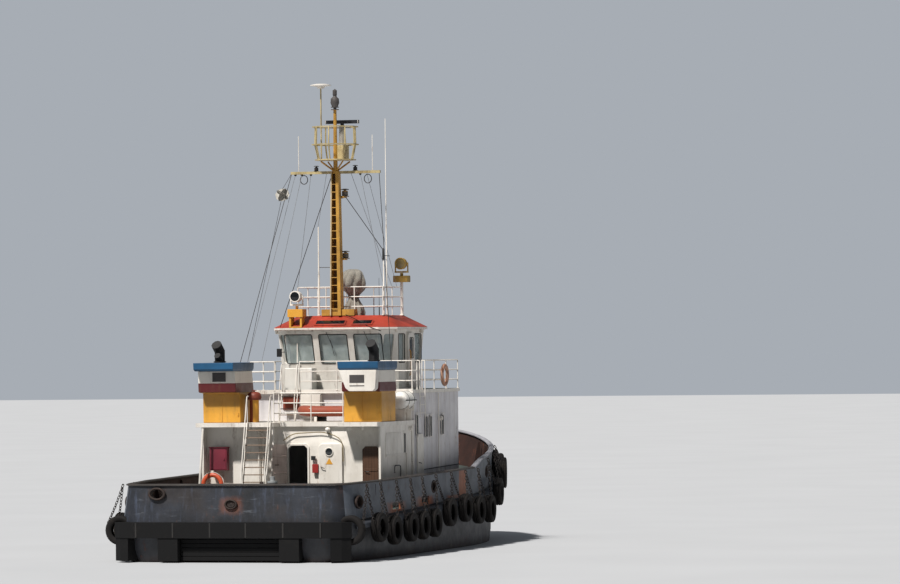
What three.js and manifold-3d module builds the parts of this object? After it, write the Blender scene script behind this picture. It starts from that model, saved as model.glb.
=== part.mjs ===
// A harbour tug, about 26.5 m long and 8.8 m wide, with two azimuth thrusters under a wide flat stern.
// Frame: millimetres, +X towards the bow, +Y to port, +Z up, origin on the waterline amidships.
// The hull is a solid with the engine room open under the aft house. The houses and wheelhouse are hollow.
import * as THREE from "three";
import { mergeVertices } from "three/addons/utils/BufferGeometryUtils.js";
import Module from "manifold-3d";

const wasm = await Module();
wasm.setup();

// Driving dimensions
const GAP = 0.3; // between faces that touch
const SLACK = 0.05; // below this a bend in a face is flattened
const CLEAR = 8; // between a moving piece and its neighbour
const HALF_BEAM = 4400;
const STERN_X = -13200;
const BOW_X = 12400; // tip of the bulwark
const SHOULDER_X = 0; // the bow's curve starts here
const STEEL = 60; // wall of the bulwark
const WALL = 80; // steel and lining of a house wall
const HOUSE_HALF = 3360;
const AFT_WALL_X = -6300;
const STEP_X = -2600; // where the fore house starts
const FORE_WALL_X = 3000;
const BOAT_DECK_Z = 4700;
const BRIDGE_DECK_Z = 5800;
const EAVE_Z = 8000;
const ROOF_Z = 8520;
const MAST_X = -1150;
const CROSSTREE_Z = 13770;
const THRUSTER_X = -10200;
const THRUSTER_Y = 2100;
const THRUSTER_Z = -3000;
const RAIL = 42; // width of a rail or post
const RAIL_HEIGHTS = [330, 690, 1050];

// Height of the deck's edge and of the bulwark's top at x
const sheer = (x) => 1400 + 0.034 * (x - STERN_X) + 3.5e-6 * Math.max(0, x) ** 2;
const RAMP = { start: 1900, end: 3200, rise: 320 };

function bulwarkTop(x) {
  if (x < RAMP.start) return 2630 + 0.014 * (x - STERN_X);
  const foot = 2630 + 0.014 * (RAMP.start - STERN_X);
  const share = Math.min(1, (x - RAMP.start) / (RAMP.end - RAMP.start));
  const fore = 0.075 * Math.max(0, x - RAMP.end) + 1.05e-5 * Math.max(0, x - 8000) ** 2;
  return foot + RAMP.rise * share ** 2 * (3 - 2 * share) + fore;
}

const v = (x, y, z) => new THREE.Vector3(x, y, z);

// A closed three.js geometry as a solid that can be joined and cut, and back again
function solidOf(geometry) {
  const flat = geometry.index ? geometry.toNonIndexed() : geometry;
  const bare = new THREE.BufferGeometry().setAttribute("position", flat.getAttribute("position"));
  const merged = mergeVertices(bare, 1e-3);
  return solidFrom(merged.attributes.position.array, merged.index.array);
}

function solidFrom(positions, triangles) {
  const vertProperties = new Float32Array(positions);
  const make = (list) => {
    return new wasm.Manifold(new wasm.Mesh({ numProp: 3, vertProperties, triVerts: new Uint32Array(list) }));
  };
  const made = make(triangles);
  if (made.volume() > 0) return made;
  const turned = Array.from(triangles);
  for (let i = 0; i < turned.length; i += 3) [turned[i + 1], turned[i + 2]] = [turned[i + 2], turned[i + 1]];
  return make(turned);
}

function geometryOf(solid) {
  const mesh = solid.asOriginal().simplify(SLACK).getMesh();
  const positions = new Float32Array(mesh.numVert * 3);
  for (let i = 0; i < mesh.numVert; i++) {
    positions.set(mesh.vertProperties.subarray(i * mesh.numProp, i * mesh.numProp + 3), i * 3);
  }
  const geometry = new THREE.BufferGeometry();
  geometry.setAttribute("position", new THREE.BufferAttribute(positions, 3));
  geometry.setIndex(new THREE.BufferAttribute(mesh.triVerts, 1));
  geometry.computeVertexNormals();
  return geometry;
}

const join = (solids) => wasm.Manifold.union(solids);
const moved = (solid, x, y, z) => solid.translate([x, y, z]);
const mirrored = (solid) => solid.mirror([0, 1, 0]);

function block([x0, x1], [y0, y1], [z0, z1]) {
  const geometry = new THREE.BoxGeometry(x1 - x0, y1 - y0, z1 - z0);
  geometry.translate((x0 + x1) / 2, (y0 + y1) / 2, (z0 + z1) / 2);
  return solidOf(geometry);
}

// A straight round or square bar from a to b
function rod(a, b, radius, sides = 6, endRadius = radius) {
  const along = b.clone().sub(a);
  const geometry = new THREE.CylinderGeometry(endRadius, radius, along.length(), sides);
  geometry.translate(0, along.length() / 2, 0);
  geometry.applyQuaternion(new THREE.Quaternion().setFromUnitVectors(v(0, 1, 0), along.normalize()));
  geometry.translate(a.x, a.y, a.z);
  return solidOf(geometry);
}

// A straight bar of square section along one axis, from a to b
function bar(a, b, width) {
  const half = width / 2;
  const span = (p, q) => (Math.abs(p - q) < 1 ? [p - half, p + half] : [Math.min(p, q), Math.max(p, q)]);
  return block(span(a.x, b.x), span(a.y, b.y), span(a.z, b.z));
}

// A flat outline pushed along one axis. Points are (x, y) for z, (x, z) for y and (y, z) for x
function prism(axis, points, from, to, holes = []) {
  const shape = new THREE.Shape(points.map(([a, b]) => new THREE.Vector2(a, b)));
  shape.holes = holes.map((hole) => new THREE.Path(hole.map(([a, b]) => new THREE.Vector2(a, b))));
  const geometry = new THREE.ExtrudeGeometry(shape, { depth: to - from, bevelEnabled: false });
  if (axis === "z") geometry.translate(0, 0, from);
  if (axis === "y") geometry.rotateX(Math.PI / 2).translate(0, to, 0);
  if (axis === "x") {
    geometry.applyMatrix4(new THREE.Matrix4().makeBasis(v(0, 1, 0), v(0, 0, 1), v(1, 0, 0)));
    geometry.translate(from, 0, 0);
  }
  return solidOf(geometry);
}

// A ring turned about the axis at a point. Profile points are (radius, place along the axis)
function turned(profile, centre, axis, segments) {
  const geometry = new THREE.LatheGeometry(profile.map(([r, h]) => new THREE.Vector2(r, h)), segments);
  geometry.applyQuaternion(new THREE.Quaternion().setFromUnitVectors(v(0, 1, 0), axis.clone().normalize()));
  geometry.translate(centre.x, centre.y, centre.z);
  return solidOf(geometry);
}

// A rectangle with cut corners, as (a, b) points
function roundedBox(a0, a1, b0, b1, cut) {
  return [
    [a0 + cut, b0],
    [a1 - cut, b0],
    [a1, b0 + cut],
    [a1, b1 - cut],
    [a1 - cut, b1],
    [a0 + cut, b1],
    [a0, b1 - cut],
    [a0, b0 + cut],
  ];
}

// A skin over rings of the same count. Ends are closed by a fan, or the last ring meets the first.
// Quads of the second half of a loop are split the other way, so that both sides of the boat match
function skin(rings, loop = false) {
  const count = rings[0].length;
  const positions = rings.flat().flatMap((p) => [p.x, p.y, p.z]);
  const faces = [];
  const last = loop ? rings.length : rings.length - 1;
  for (let i = 0; i < last; i++) {
    const next = (i + 1) % rings.length;
    for (let j = 0; j < count; j++) {
      const k = (j + 1) % count;
      const [a, b, c, d] = [i * count + j, i * count + k, next * count + k, next * count + j];
      if (loop && i >= rings.length / 2) faces.push(a, b, d, b, c, d);
      else faces.push(a, b, c, a, c, d);
    }
  }
  if (!loop) {
    const end = (rings.length - 1) * count;
    for (let j = 1; j < count - 1; j++) {
      faces.push(0, j + 1, j, end, end + j, end + j + 1);
    }
  }
  return solidFrom(positions, faces);
}

// Plan of the hull at one level: from the bow's tip down the starboard side to the stern, and back to port.
// Bow points follow half * (1 - u^2)^0.6, which is a full rounded tug bow
const BOW_STEPS = 13;
const BOW_POWER = 1.2;
const SIDE_X = [-3300, -6600, -9900];
const QUARTER_X = -8000;
const CORNER = 900;
const CORNER_STEPS = 5;

const DECK_PLAN = { bow: 12050, half: HALF_BEAM, quarter: 4200, stern: STERN_X };
const CAP_PLAN = { bow: BOW_X, half: HALF_BEAM, quarter: 4060, stern: STERN_X + 130 };

function sideHalf(plan, x) {
  if (x > SHOULDER_X) {
    const u = Math.min(1, (x - SHOULDER_X) / (plan.bow - SHOULDER_X));
    return plan.half * (1 - u * u) ** (BOW_POWER / 2);
  }
  const aft = Math.max(0, (QUARTER_X - x) / (QUARTER_X - plan.stern - CORNER));
  return plan.half - (plan.half - plan.quarter) * Math.min(1, aft) ** 2;
}

function halfPlan(plan) {
  const points = [];
  for (let i = 0; i <= BOW_STEPS; i++) {
    const angle = (i * Math.PI) / 2 / BOW_STEPS;
    const x = SHOULDER_X + (plan.bow - SHOULDER_X) * Math.cos(angle);
    points.push([x, -plan.half * Math.sin(angle) ** BOW_POWER]);
  }
  for (const x of SIDE_X) points.push([x, -sideHalf(plan, x)]);
  const corner = Math.min(CORNER, plan.quarter);
  for (let i = 0; i <= CORNER_STEPS; i++) {
    const angle = (i * Math.PI) / 2 / CORNER_STEPS;
    const x = plan.stern + corner - corner * Math.sin(angle);
    points.push([x, -(plan.quarter - corner) - corner * Math.cos(angle)]);
  }
  points.push([plan.stern, 0]);
  return points;
}

function fullPlan(plan, inset = 0) {
  const half = halfPlan(plan);
  const port = half.slice(1, -1).reverse().map(([x, y]) => [x, -y]);
  const points = [...half, ...port];
  return points.map(([x, y], i) => {
    const [ax, ay] = points[(i + points.length - 1) % points.length];
    const [bx, by] = points[(i + 1) % points.length];
    const length = Math.hypot(bx - ax, by - ay);
    return [x + ((by - ay) / length) * inset, y - ((bx - ax) / length) * inset];
  });
}

// Levels of the hull from the deck's edge down to the flat of the keel. Plan: bow, half, quarter, stern.
// Height is at midships, and the level rises to "atBow" and "atStern" more at the ends
const HULL_LEVELS = [
  { plan: DECK_PLAN, height: sheer },
  { plan: planOf(11950, 4380, 4170, -13120), height: () => 450 },
  { plan: planOf(11750, 4340, 4120, -13040), height: (x) => rise(x, 500, 350) - 150 },
  { plan: planOf(11200, 4120, 3800, -12800), height: (x) => rise(x, 800, 750) - 1150 },
  { plan: planOf(10600, 3300, 3100, -12500), height: (x) => rise(x, 950, 1350) - 2100 },
  { plan: planOf(9500, 900, 800, -12100), height: (x) => rise(x, 900, 2350) - 3300 },
];

function planOf(bow, half, quarter, stern) {
  return { bow, half, quarter, stern };
}

function rise(x, atBow, atStern) {
  const bow = Math.max(0, (x - 3000) / 8000) ** 2;
  const stern = Math.max(0, (-2500 - x) / 9600) ** 1.3;
  return atBow * bow + atStern * stern;
}

function hullSkin(grow) {
  const rings = HULL_LEVELS.map(({ plan, height }, i) => {
    const lift = i === 0 ? grow : i === HULL_LEVELS.length - 1 ? -grow : 0;
    return fullPlan(plan, -grow).map(([x, y]) => v(x, y, height(x) + lift));
  });
  const count = rings[0].length;
  const positions = rings.flat().flatMap((p) => [p.x, p.y, p.z]);
  const faces = [];
  for (let i = 0; i < rings.length - 1; i++) {
    for (let j = 0; j < count; j++) {
      const k = (j + 1) % count;
      const [a, b, c, d] = [i * count + j, i * count + k, (i + 1) * count + k, (i + 1) * count + j];
      if (j >= count / 2) faces.push(a, b, d, b, c, d);
      else faces.push(a, b, c, a, c, d);
    }
  }
  // Deck and bottom are strips across from starboard to port
  for (const [start, up] of [[0, true], [(rings.length - 1) * count, false]]) {
    for (let j = 0; j < count / 2; j++) {
      const [a, b] = [j, j + 1];
      const [c, d] = [(count - j) % count, count - j - 1];
      const quad = [];
      if (a !== c) quad.push(a, c, b);
      if (b !== d) quad.push(b, c, d);
      for (let q = 0; q < quad.length; q += 3) {
        const [p, r, s] = [quad[q] + start, quad[q + 1] + start, quad[q + 2] + start];
        faces.push(...(up ? [p, r, s] : [p, s, r]));
      }
    }
  }
  return solidFrom(positions, faces);
}

const THRUSTER_WELL_Z = -1750;
const ENGINE_ROOM = { x: [-6100, -2750], y: [-2500, 2500], z: [-1600, 3000] };

function hull() {
  const wells = [1, -1].map((side) =>
    rod(v(THRUSTER_X, side * THRUSTER_Y, THRUSTER_WELL_Z), v(THRUSTER_X, side * THRUSTER_Y, -500), 560, 16),
  );
  const room = block(ENGINE_ROOM.x, ENGINE_ROOM.y, ENGINE_ROOM.z);
  return join([hullSkin(0), ...wells]).subtract(room);
}

// The hull's building blocks from aft to forward, and the stations where they meet
const HULL_BLOCKS = ["hull_aft", "hull_mid", "hull_bow"];
const BLOCK_JOINTS = [0, 6000];

function hullBlocks() {
  const whole = hull();
  const ends = [STERN_X - 500, ...BLOCK_JOINTS, BOW_X + 500];
  return HULL_BLOCKS.map((name, i) => {
    const station = block([ends[i], ends[i + 1] - GAP], [-6000, 6000], [-5000, 5000]);
    return [name, whole.intersect(station)];
  });
}
const HULL = hullSkin(0);
const HULL_GROWN = hullSkin(1);
const HULL_RAISED = moved(HULL, 0, 0, GAP);
const onDeck = (solid) => solid.subtract(HULL_RAISED);

function skeg() {
  const low = [[-8300, -3700], [-7900, -3900], [2500, -3900], [4200, -3200]];
  return prism("y", [[-8600, -1200], ...low, [4200, -1200]], -150, 150).subtract(HULL_GROWN);
}

// The two engines are plain blocks on one bed
const ENGINE = { x: [-5900, -2950], y: 1250, half: 560, top: 100 };

function engines() {
  const floor = ENGINE_ROOM.z[0] + GAP;
  const { x, y, half, top } = ENGINE;
  const blocks = [1, -1].map((side) => block(x, [side * y - half, side * y + half], [floor, top]));
  return join([...blocks, block(x, [-y, y], [floor, floor + 120])]);
}

// Openings through the bulwark: fairleads are ovals, freeing ports are slots at the deck
const FAIRLEAD = { halfWidth: 270, halfHeight: 190 };
const STERN_FAIRLEADS = [[2700, 2360, 1], [0, 2000, 0.75]]; // y, height and scale
const SIDE_FAIRLEADS = [-11900, -3650, 4200];
const FREEING_PORTS = [-8100, -4700];

function ovalAcross(axis, place, height, scale = 1) {
  const points = [];
  for (let i = 0; i < 10; i++) {
    const angle = (i * Math.PI) / 5;
    const a = Math.cos(angle) * FAIRLEAD.halfWidth * scale;
    const b = Math.sin(angle) * FAIRLEAD.halfHeight * scale;
    points.push([place + a, height + b]);
  }
  return axis === "x" ? prism("x", points, STERN_X - 600, STERN_X + 600) : prism("y", points, -5000, 5000);
}

function bulwark() {
  const foot = fullPlan(DECK_PLAN);
  const footIn = fullPlan(DECK_PLAN, STEEL);
  const head = fullPlan(CAP_PLAN);
  const headIn = fullPlan(CAP_PLAN, STEEL);
  const rings = foot.map(([x, y], i) => [
    v(x, y, sheer(x) + GAP),
    v(head[i][0], head[i][1], bulwarkTop(head[i][0])),
    v(headIn[i][0], headIn[i][1], bulwarkTop(head[i][0])),
    v(footIn[i][0], footIn[i][1], sheer(footIn[i][0]) + GAP),
  ]);
  const cuts = [
    ...STERN_FAIRLEADS.map(([y, z, scale]) => ovalAcross("x", y, z, scale)),
    ...SIDE_FAIRLEADS.map((x) => ovalAcross("y", x, sheer(x) + 600)),
    ...FREEING_PORTS.map((x) => block([x - 450, x + 450], [-5000, 5000], [sheer(x) + 90, sheer(x) + 330])),
  ];
  return cuts.reduce((solid, cut) => solid.subtract(cut), skin(rings, true)).subtract(HULL_RAISED);
}

function capRail() {
  const out = fullPlan(CAP_PLAN, -70);
  const inner = fullPlan(CAP_PLAN, STEEL + 70);
  const rings = fullPlan(CAP_PLAN).map(([x], i) => {
    const low = bulwarkTop(x) + 4;
    return [
      v(...out[i], low),
      v(...out[i], low + 45),
      v((out[i][0] + inner[i][0]) / 2, (out[i][1] + inner[i][1]) / 2, low + 80),
      v(...inner[i], low + 45),
      v(...inner[i], low),
    ];
  });
  return skin(rings, true);
}

// Rubber block fender round the stern, with upright legs down to the water
const FENDER = { low: 850, high: 1390, deep: 350, end: -12800, legLow: 60, legHalf: 360, legY: 2200 };

function sternBand(low, high, deep, keep) {
  const outer = fullPlan(DECK_PLAN, -deep);
  const inner = fullPlan(DECK_PLAN, 250);
  const base = fullPlan(DECK_PLAN);
  const rings = base
    .map(([x, y], i) => ({ x, y, i }))
    .filter(keep)
    .map(({ i }) => [v(...inner[i], low), v(...outer[i], low), v(...outer[i], high), v(...inner[i], high)]);
  return skin(rings);
}

function sternFender() {
  const band = sternBand(FENDER.low, FENDER.high, FENDER.deep, ({ x }) => x < FENDER.end);
  const legs = [1, -1].map((side) =>
    block(
      [STERN_X - FENDER.deep + 30, STERN_X + 300],
      [side * FENDER.legY - FENDER.legHalf, side * FENDER.legY + FENDER.legHalf],
      [FENDER.legLow, FENDER.low + 50],
    ),
  );
  const corner = sternBand(FENDER.legLow, FENDER.low + 50, FENDER.deep - 30, ({ x, y }) => {
    return y < 0 && x < FENDER.end && x > STERN_X + 30;
  });
  return join([band, ...legs, corner, mirrored(corner)]).subtract(HULL_GROWN);
}

// Tyre fenders hang on two chain legs from the bulwark's top and lean on the strake.
// Columns: x, centre's height
const TYRE = { outer: 515, shoulder: 425, inner: 290, half: 165 };
const TYRES = [
  [-12340, 1100],
  [-11200, 1150],
  [-9750, 1000],
  [-7900, 1030],
  [-6500, 1050],
  [-5050, 1080],
  [-3150, 1390],
  [-1200, 1480],
  [500, 1350],
  [2250, 1330],
  [4200, 1900],
  [6000, 2480],
  [7500, 2600],
  [8800, 2720],
  [9900, 2830],
];
const STRAKE = { top: 60, high: 250, deep: 320 };
const CHAIN_RADIUS = 28;
const PROUD = 450; // a tyre's centre off the hull

function outward(plan, x) {
  const slope = (sideHalf(plan, x + 10) - sideHalf(plan, x - 10)) / 20;
  return v(-slope, -1, 0).normalize();
}

function tyre([x, height]) {
  const out = outward(DECK_PLAN, x);
  const { outer, shoulder, inner, half } = TYRE;
  const centre = v(x, -sideHalf(DECK_PLAN, x), height).addScaledVector(out, PROUD);
  const profile = [
    [inner, -half * 0.7],
    [shoulder, -half],
    [outer, 0],
    [shoulder, half],
    [inner, half * 0.7],
    [inner, -half * 0.7],
  ];
  const pieces = [turned(profile, centre, out, 9)];
  const along = v(-out.y, out.x, 0);
  const head = v(x, -sideHalf(CAP_PLAN, x), bulwarkTop(x) - 60).addScaledVector(out, 110);
  for (const side of [1, -1]) {
    const grip = centre.clone().addScaledVector(along, side * 330);
    pieces.push(rod(head, grip.setZ(height + 300), CHAIN_RADIUS, 3));
  }
  // A tyre that hangs above the strake is lashed down to it
  const strakeTop = sheer(x) - STRAKE.top;
  if (height - shoulder > strakeTop - 130) {
    const back = centre.clone().addScaledVector(out, -half);
    const tie = [v(back.x, back.y, strakeTop - STRAKE.high + 60), v(back.x, back.y, height - inner - 20)];
    pieces.push(rod(...tie, CHAIN_RADIUS + 12, 4));
  }
  return join(pieces);
}

function sideFender() {
  const base = fullPlan(DECK_PLAN);
  const outer = fullPlan(DECK_PLAN, -STRAKE.deep);
  const inner = fullPlan(DECK_PLAN, 150);
  const rings = [];
  base.forEach(([x, y], i) => {
    if (y >= -100 || x < FENDER.end || i > base.length / 2) return;
    const high = sheer(x) - STRAKE.top;
    const low = high - STRAKE.high;
    rings.push([
      v(...inner[i], low),
      v((outer[i][0] + x) / 2, (outer[i][1] + y) / 2, low),
      v(...outer[i], low + 70),
      v(...outer[i], high - 70),
      v((outer[i][0] + x) / 2, (outer[i][1] + y) / 2, high),
      v(...inner[i], high),
    ]);
  });
  const tyres = TYRES.map((place) => tyre(place));
  return join([skin(rings).subtract(HULL_GROWN), ...tyres]);
}

// Doors are flat leaves with cut corners, hung outside their frame. "out" is the wall's outward axis
const LEAF = 50;
const FRAME = 45;
const SILL = 300;

const AFT_DOORS = {
  aft: { y: [-530, 210], top: 3880 },
  store: { y: [-1790, -1000], top: 3880 },
  teak: { y: [-3180, -2640], top: 3790 },
};
const SIDE_DOOR = { x: [-2440, -1800], top: 4150 };
const BRIDGE_DOOR = { x: [100, 820], low: BRIDGE_DECK_Z + 150, top: 7830 };
const WHEELHOUSE_HALF = 2250;

function doorOutline([a0, a1], low, top, grow = 0) {
  return roundedBox(a0 - grow, a1 + grow, low - grow, top + grow, 110);
}

function aftHouse() {
  const ends = AFT_WALL_X - 350;
  const wallTop = BOAT_DECK_Z - 150;
  const z = [1000, wallTop];
  const aftWall = block([AFT_WALL_X, AFT_WALL_X + WALL], [-HOUSE_HALF + 10, HOUSE_HALF - 10], z);
  const sides = [1, -1].map((side) => {
    const y = side > 0 ? [HOUSE_HALF - WALL, HOUSE_HALF] : [-HOUSE_HALF, -HOUSE_HALF + WALL];
    return block([ends, STEP_X - GAP], y, z);
  });
  const doors = Object.values(AFT_DOORS);
  const low = sheer(AFT_WALL_X) + SILL;
  const frames = doors.map(({ y, top }) =>
    prism("x", doorOutline(y, low, top, 60), AFT_WALL_X - FRAME, AFT_WALL_X + 1),
  );
  const cuts = doors.map(({ y, top }) =>
    prism("x", doorOutline(y, low, top, -10), AFT_WALL_X - 300, AFT_WALL_X + 300),
  );
  const walls = cuts.reduce((solid, cut) => solid.subtract(cut), join([aftWall, ...sides, ...frames]));
  return onDeck(walls);
}

// The boat deck runs out aft in two wings that carry the funnels
const WING_X = -7150;
const PORT_WING_Y = 480;
const PLATE = 150;

function boatDeck() {
  const half = HOUSE_HALF + 40;
  const outline = [
    [STEP_X - GAP, half],
    [WING_X, half],
    [WING_X, PORT_WING_Y],
    [AFT_WALL_X - 120, PORT_WING_Y],
    [AFT_WALL_X - 120, -1930],
    [WING_X, -1930],
    [WING_X, -half],
    [STEP_X - GAP, -half],
  ];
  const plate = prism("z", outline, BOAT_DECK_Z - PLATE + GAP, BOAT_DECK_Z);
  return join([plate, boatDeckVent(), ...dinghyChocks(), ...raftCradle()]);
}

// Mushroom ventilator inboard of the port funnel, as (radius, height)
const VENT = { x: -5800, y: 1640 };

function boatDeckVent() {
  const profile = [[0, -40], [170, -40], [170, 800], [250, 820], [250, 980], [150, 1070], [0, 1100]];
  return turned(profile, v(VENT.x, VENT.y, BOAT_DECK_Z), v(0, 0, 1), 12);
}

function foreHouse() {
  const z = [1000, BRIDGE_DECK_Z - 120];
  const outer = block([STEP_X, FORE_WALL_X], [-HOUSE_HALF, HOUSE_HALF], z);
  const half = HOUSE_HALF - WALL;
  const inner = block([STEP_X + WALL, FORE_WALL_X - WALL], [-half, half], [900, 6000]);
  const low = sheer(SIDE_DOOR.x[1]) + SILL;
  const face = HOUSE_HALF + FRAME;
  const frame = [1, -1].map((side) => {
    const from = side > 0 ? HOUSE_HALF - 1 : -face;
    return prism("y", doorOutline(SIDE_DOOR.x, low, SIDE_DOOR.top, 60), from, from + FRAME + 1);
  });
  const cut = prism("y", doorOutline(SIDE_DOOR.x, low, SIDE_DOOR.top, -10), -4000, 4000);
  return onDeck(join([outer.subtract(inner), ...frame]).subtract(cut));
}

function bridgeDeck() {
  const half = HOUSE_HALF + 40;
  return block([STEP_X - 120, FORE_WALL_X + 90], [-half, half], [BRIDGE_DECK_Z - 120 + GAP, BRIDGE_DECK_Z]);
}

// The wheelhouse is an octagon. Its ends lean out above the sill, its sides are upright
const WHEELHOUSE = { aft: -1350, fore: 2400, lean: 430, chamfer: 500, sill: 6700 };
const WINDOW = { low: 6780, high: 7830 };
const WHEEL_WALL = 70;

function octagon(aft, fore, half, chamfer, z) {
  return [
    v(aft, half - chamfer, z),
    v(aft + chamfer, half, z),
    v(fore - chamfer, half, z),
    v(fore, half - chamfer, z),
    v(fore, -half + chamfer, z),
    v(fore - chamfer, -half, z),
    v(aft + chamfer, -half, z),
    v(aft, -half + chamfer, z),
  ];
}

function wheelShell(inset, low, high) {
  const { aft, fore, lean, chamfer, sill } = WHEELHOUSE;
  const cut = chamfer - inset * 0.4;
  const half = WHEELHOUSE_HALF - inset;
  const out = (lean * (high - sill)) / (EAVE_Z - sill);
  const rings = [
    octagon(aft + inset, fore - inset, half, cut, low),
    octagon(aft + inset, fore - inset, half, cut, sill),
    octagon(aft + inset - out, fore - inset + out, half, cut, high),
  ];
  return skin(rings);
}

// Windows: centres and widths along each wall
const END_WINDOWS = [[-1330, 1060], [0, 1080], [1330, 1060]];
const SIDE_WINDOWS = [[-460, 760], [1560, 860]];

function wheelWindowCuts() {
  const { low, high } = WINDOW;
  const cuts = [];
  for (const [centre, width] of END_WINDOWS) {
    const outline = roundedBox(centre - width / 2, centre + width / 2, low, high, 50);
    cuts.push(prism("x", outline, -2600, -1100), prism("x", outline, 2200, 3600));
  }
  for (const [centre, width] of SIDE_WINDOWS) {
    const outline = roundedBox(centre - width / 2, centre + width / 2, low, high, 50);
    cuts.push(prism("y", outline, -3000, -1900), prism("y", outline, 1900, 3000));
  }
  const corner = prism("x", roundedBox(-210, 210, low, high, 50), -500, 500);
  const { aft, fore, lean, chamfer } = WHEELHOUSE;
  for (const [x, turn] of [[aft - lean / 2 + chamfer / 2, 1], [fore + lean / 2 - chamfer / 2, -1]]) {
    for (const side of [1, -1]) {
      const turnedCut = corner.rotate([0, 0, -45 * turn * side]);
      cuts.push(moved(turnedCut, x, side * (WHEELHOUSE_HALF - chamfer / 2), 0));
    }
  }
  return cuts;
}

function wheelhouse() {
  const top = EAVE_Z - GAP;
  const low = BRIDGE_DECK_Z + GAP;
  const walls = wheelShell(0, low, top).subtract(wheelShell(WHEEL_WALL, low - 50, top + 50));
  const outline = doorOutline(BRIDGE_DOOR.x, BRIDGE_DOOR.low, BRIDGE_DOOR.top, 55);
  const frames = [1, -1].map((side) => {
    const from = side > 0 ? WHEELHOUSE_HALF - 1 : -WHEELHOUSE_HALF - FRAME;
    return prism("y", outline, from, from + FRAME + 1);
  });
  const doorway = doorOutline(BRIDGE_DOOR.x, BRIDGE_DOOR.low, BRIDGE_DOOR.top, -10);
  const cuts = [...wheelWindowCuts(), prism("y", doorway, -3000, 3000)];
  return cuts.reduce((solid, cut) => solid.subtract(cut), join([walls, ...frames]));
}

// One band of glass behind the window openings, open at the doors
function wheelGlass() {
  const z = [WINDOW.low - 40, WINDOW.high + 40];
  const inset = WHEEL_WALL + 12;
  const outer = wheelShell(inset, BRIDGE_DECK_Z, EAVE_Z);
  const inner = wheelShell(inset + 12, BRIDGE_DECK_Z - 50, EAVE_Z + 50);
  const band = outer.subtract(inner).intersect(block([-3000, 4000], [-3000, 3000], z));
  const [x0, x1] = BRIDGE_DOOR.x;
  return band.subtract(block([x0 - 60, x1 + 60], [-3000, 3000], [WINDOW.low + 150, 8000]));
}

const ROOF_SLOPE = 700; // width of the roof's slanted border

function wheelRoof() {
  const { aft, fore, lean, chamfer } = WHEELHOUSE;
  const [a, f, half] = [aft - lean - 120, fore + lean + 120, WHEELHOUSE_HALF + 130];
  const shell = (inset, low, high) => {
    const c = chamfer + 60 - inset * 0.4;
    const eave = (z) => octagon(a + inset, f - inset, half - inset, c, z);
    const border = ROOF_SLOPE + inset;
    const top = octagon(a + border, f - border, half - border, c, high);
    return skin([eave(low), eave(EAVE_Z + 90 - inset / 2), top]);
  };
  return shell(0, EAVE_Z, ROOF_Z).subtract(shell(260, EAVE_Z - 10, ROOF_Z - 70));
}

function helmConsole() {
  const profile = [[1300, 5800], [2050, 5800], [2050, 6750], [1850, 6850], [1300, 6600]];
  return moved(prism("y", profile, -1500, 1500), 0, 0, GAP);
}

// Door leaves stand outside their frames by CLEAR
function aftLeaf({ y, top }, low) {
  const x1 = AFT_WALL_X - FRAME - CLEAR;
  return prism("x", doorOutline(y, low, top, 45), x1 - LEAF, x1);
}

// Each hinge line is just outside its leaf. Open angles are in degrees about +Z
const HINGE_OUT = 12;
const AFT_HINGE_X = AFT_WALL_X - FRAME - CLEAR - LEAF - HINGE_OUT;
const AFT_OPEN = 112;

function turnAbout(solid, x, y, degrees) {
  return moved(moved(solid, -x, -y, 0).rotate([0, 0, degrees]), x, y, 0);
}

function sideLeaf(outline, half, side) {
  const from = side > 0 ? half + FRAME + CLEAR : -half - FRAME - CLEAR - LEAF;
  return prism("y", outline, from, from + LEAF);
}

function bridgeLeaf(side) {
  const outline = doorOutline(BRIDGE_DOOR.x, BRIDGE_DOOR.low, BRIDGE_DOOR.top, 40);
  const [x0, x1] = BRIDGE_DOOR.x;
  const pane = prism("y", roundedBox(x0 + 170, x1 - 170, 6950, 7680, 90), -3000, 3000);
  return sideLeaf(outline, WHEELHOUSE_HALF, side).subtract(pane);
}

// Funnels: a yellow casing, a banded head that stands out aft of it, and a broad cap with an open well.
// Columns: z, aft end, fore end, inboard y, outboard y
const FUNNEL_RINGS = [
  [BOAT_DECK_Z + GAP, -6460, -4800, 1940, 3350],
  [5750, -6475, -4800, 1945, 3355],
  [5790, -6830, -4820, 1985, 3400],
  [6550, -6860, -4960, 2000, 3405],
];
const CAP_RINGS = [
  [6550 + GAP, -7120, -4930, 1990, 3430],
  [6620, -7190, -4900, 1960, 3455],
  [6850, -7200, -4890, 1955, 3460],
];
const CAP_WELL = { wall: 110, floor: 6690 };

function ringOf([z, x0, x1, y0, y1], inset = 0) {
  const [a, b, c, d] = [x0 + inset, x1 - inset, y0 + inset, y1 - inset];
  return [v(a, c, z), v(b, c, z), v(b, d, z), v(a, d, z)];
}

function funnel(side) {
  const casing = skin(FUNNEL_RINGS.map((ring) => ringOf(ring)));
  return side > 0 ? casing : mirrored(casing);
}

function funnelCap(side) {
  const { wall, floor } = CAP_WELL;
  const [top, ...sides] = CAP_RINGS.at(-1);
  const well = skin([ringOf([floor, ...sides], wall), ringOf([top + 20, ...sides], wall)]);
  const cap = skin(CAP_RINGS.map((ring) => ringOf(ring))).subtract(well);
  return side > 0 ? cap : mirrored(cap);
}

// Exhaust pipes stand on a foot plate in the cap's well and bend aft. Columns: x, y, radius, rise to the bend
const EXHAUSTS = {
  port: { pipes: [[-6350, 2740, 190, 600], [-6800, 2600, 120, 290]], foot: [-6960, -6110, 2440, 2980] },
  starboard: { pipes: [[-6350, -3050, 190, 600]], foot: [-6590, -6110, -3290, -2810] },
};

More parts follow.
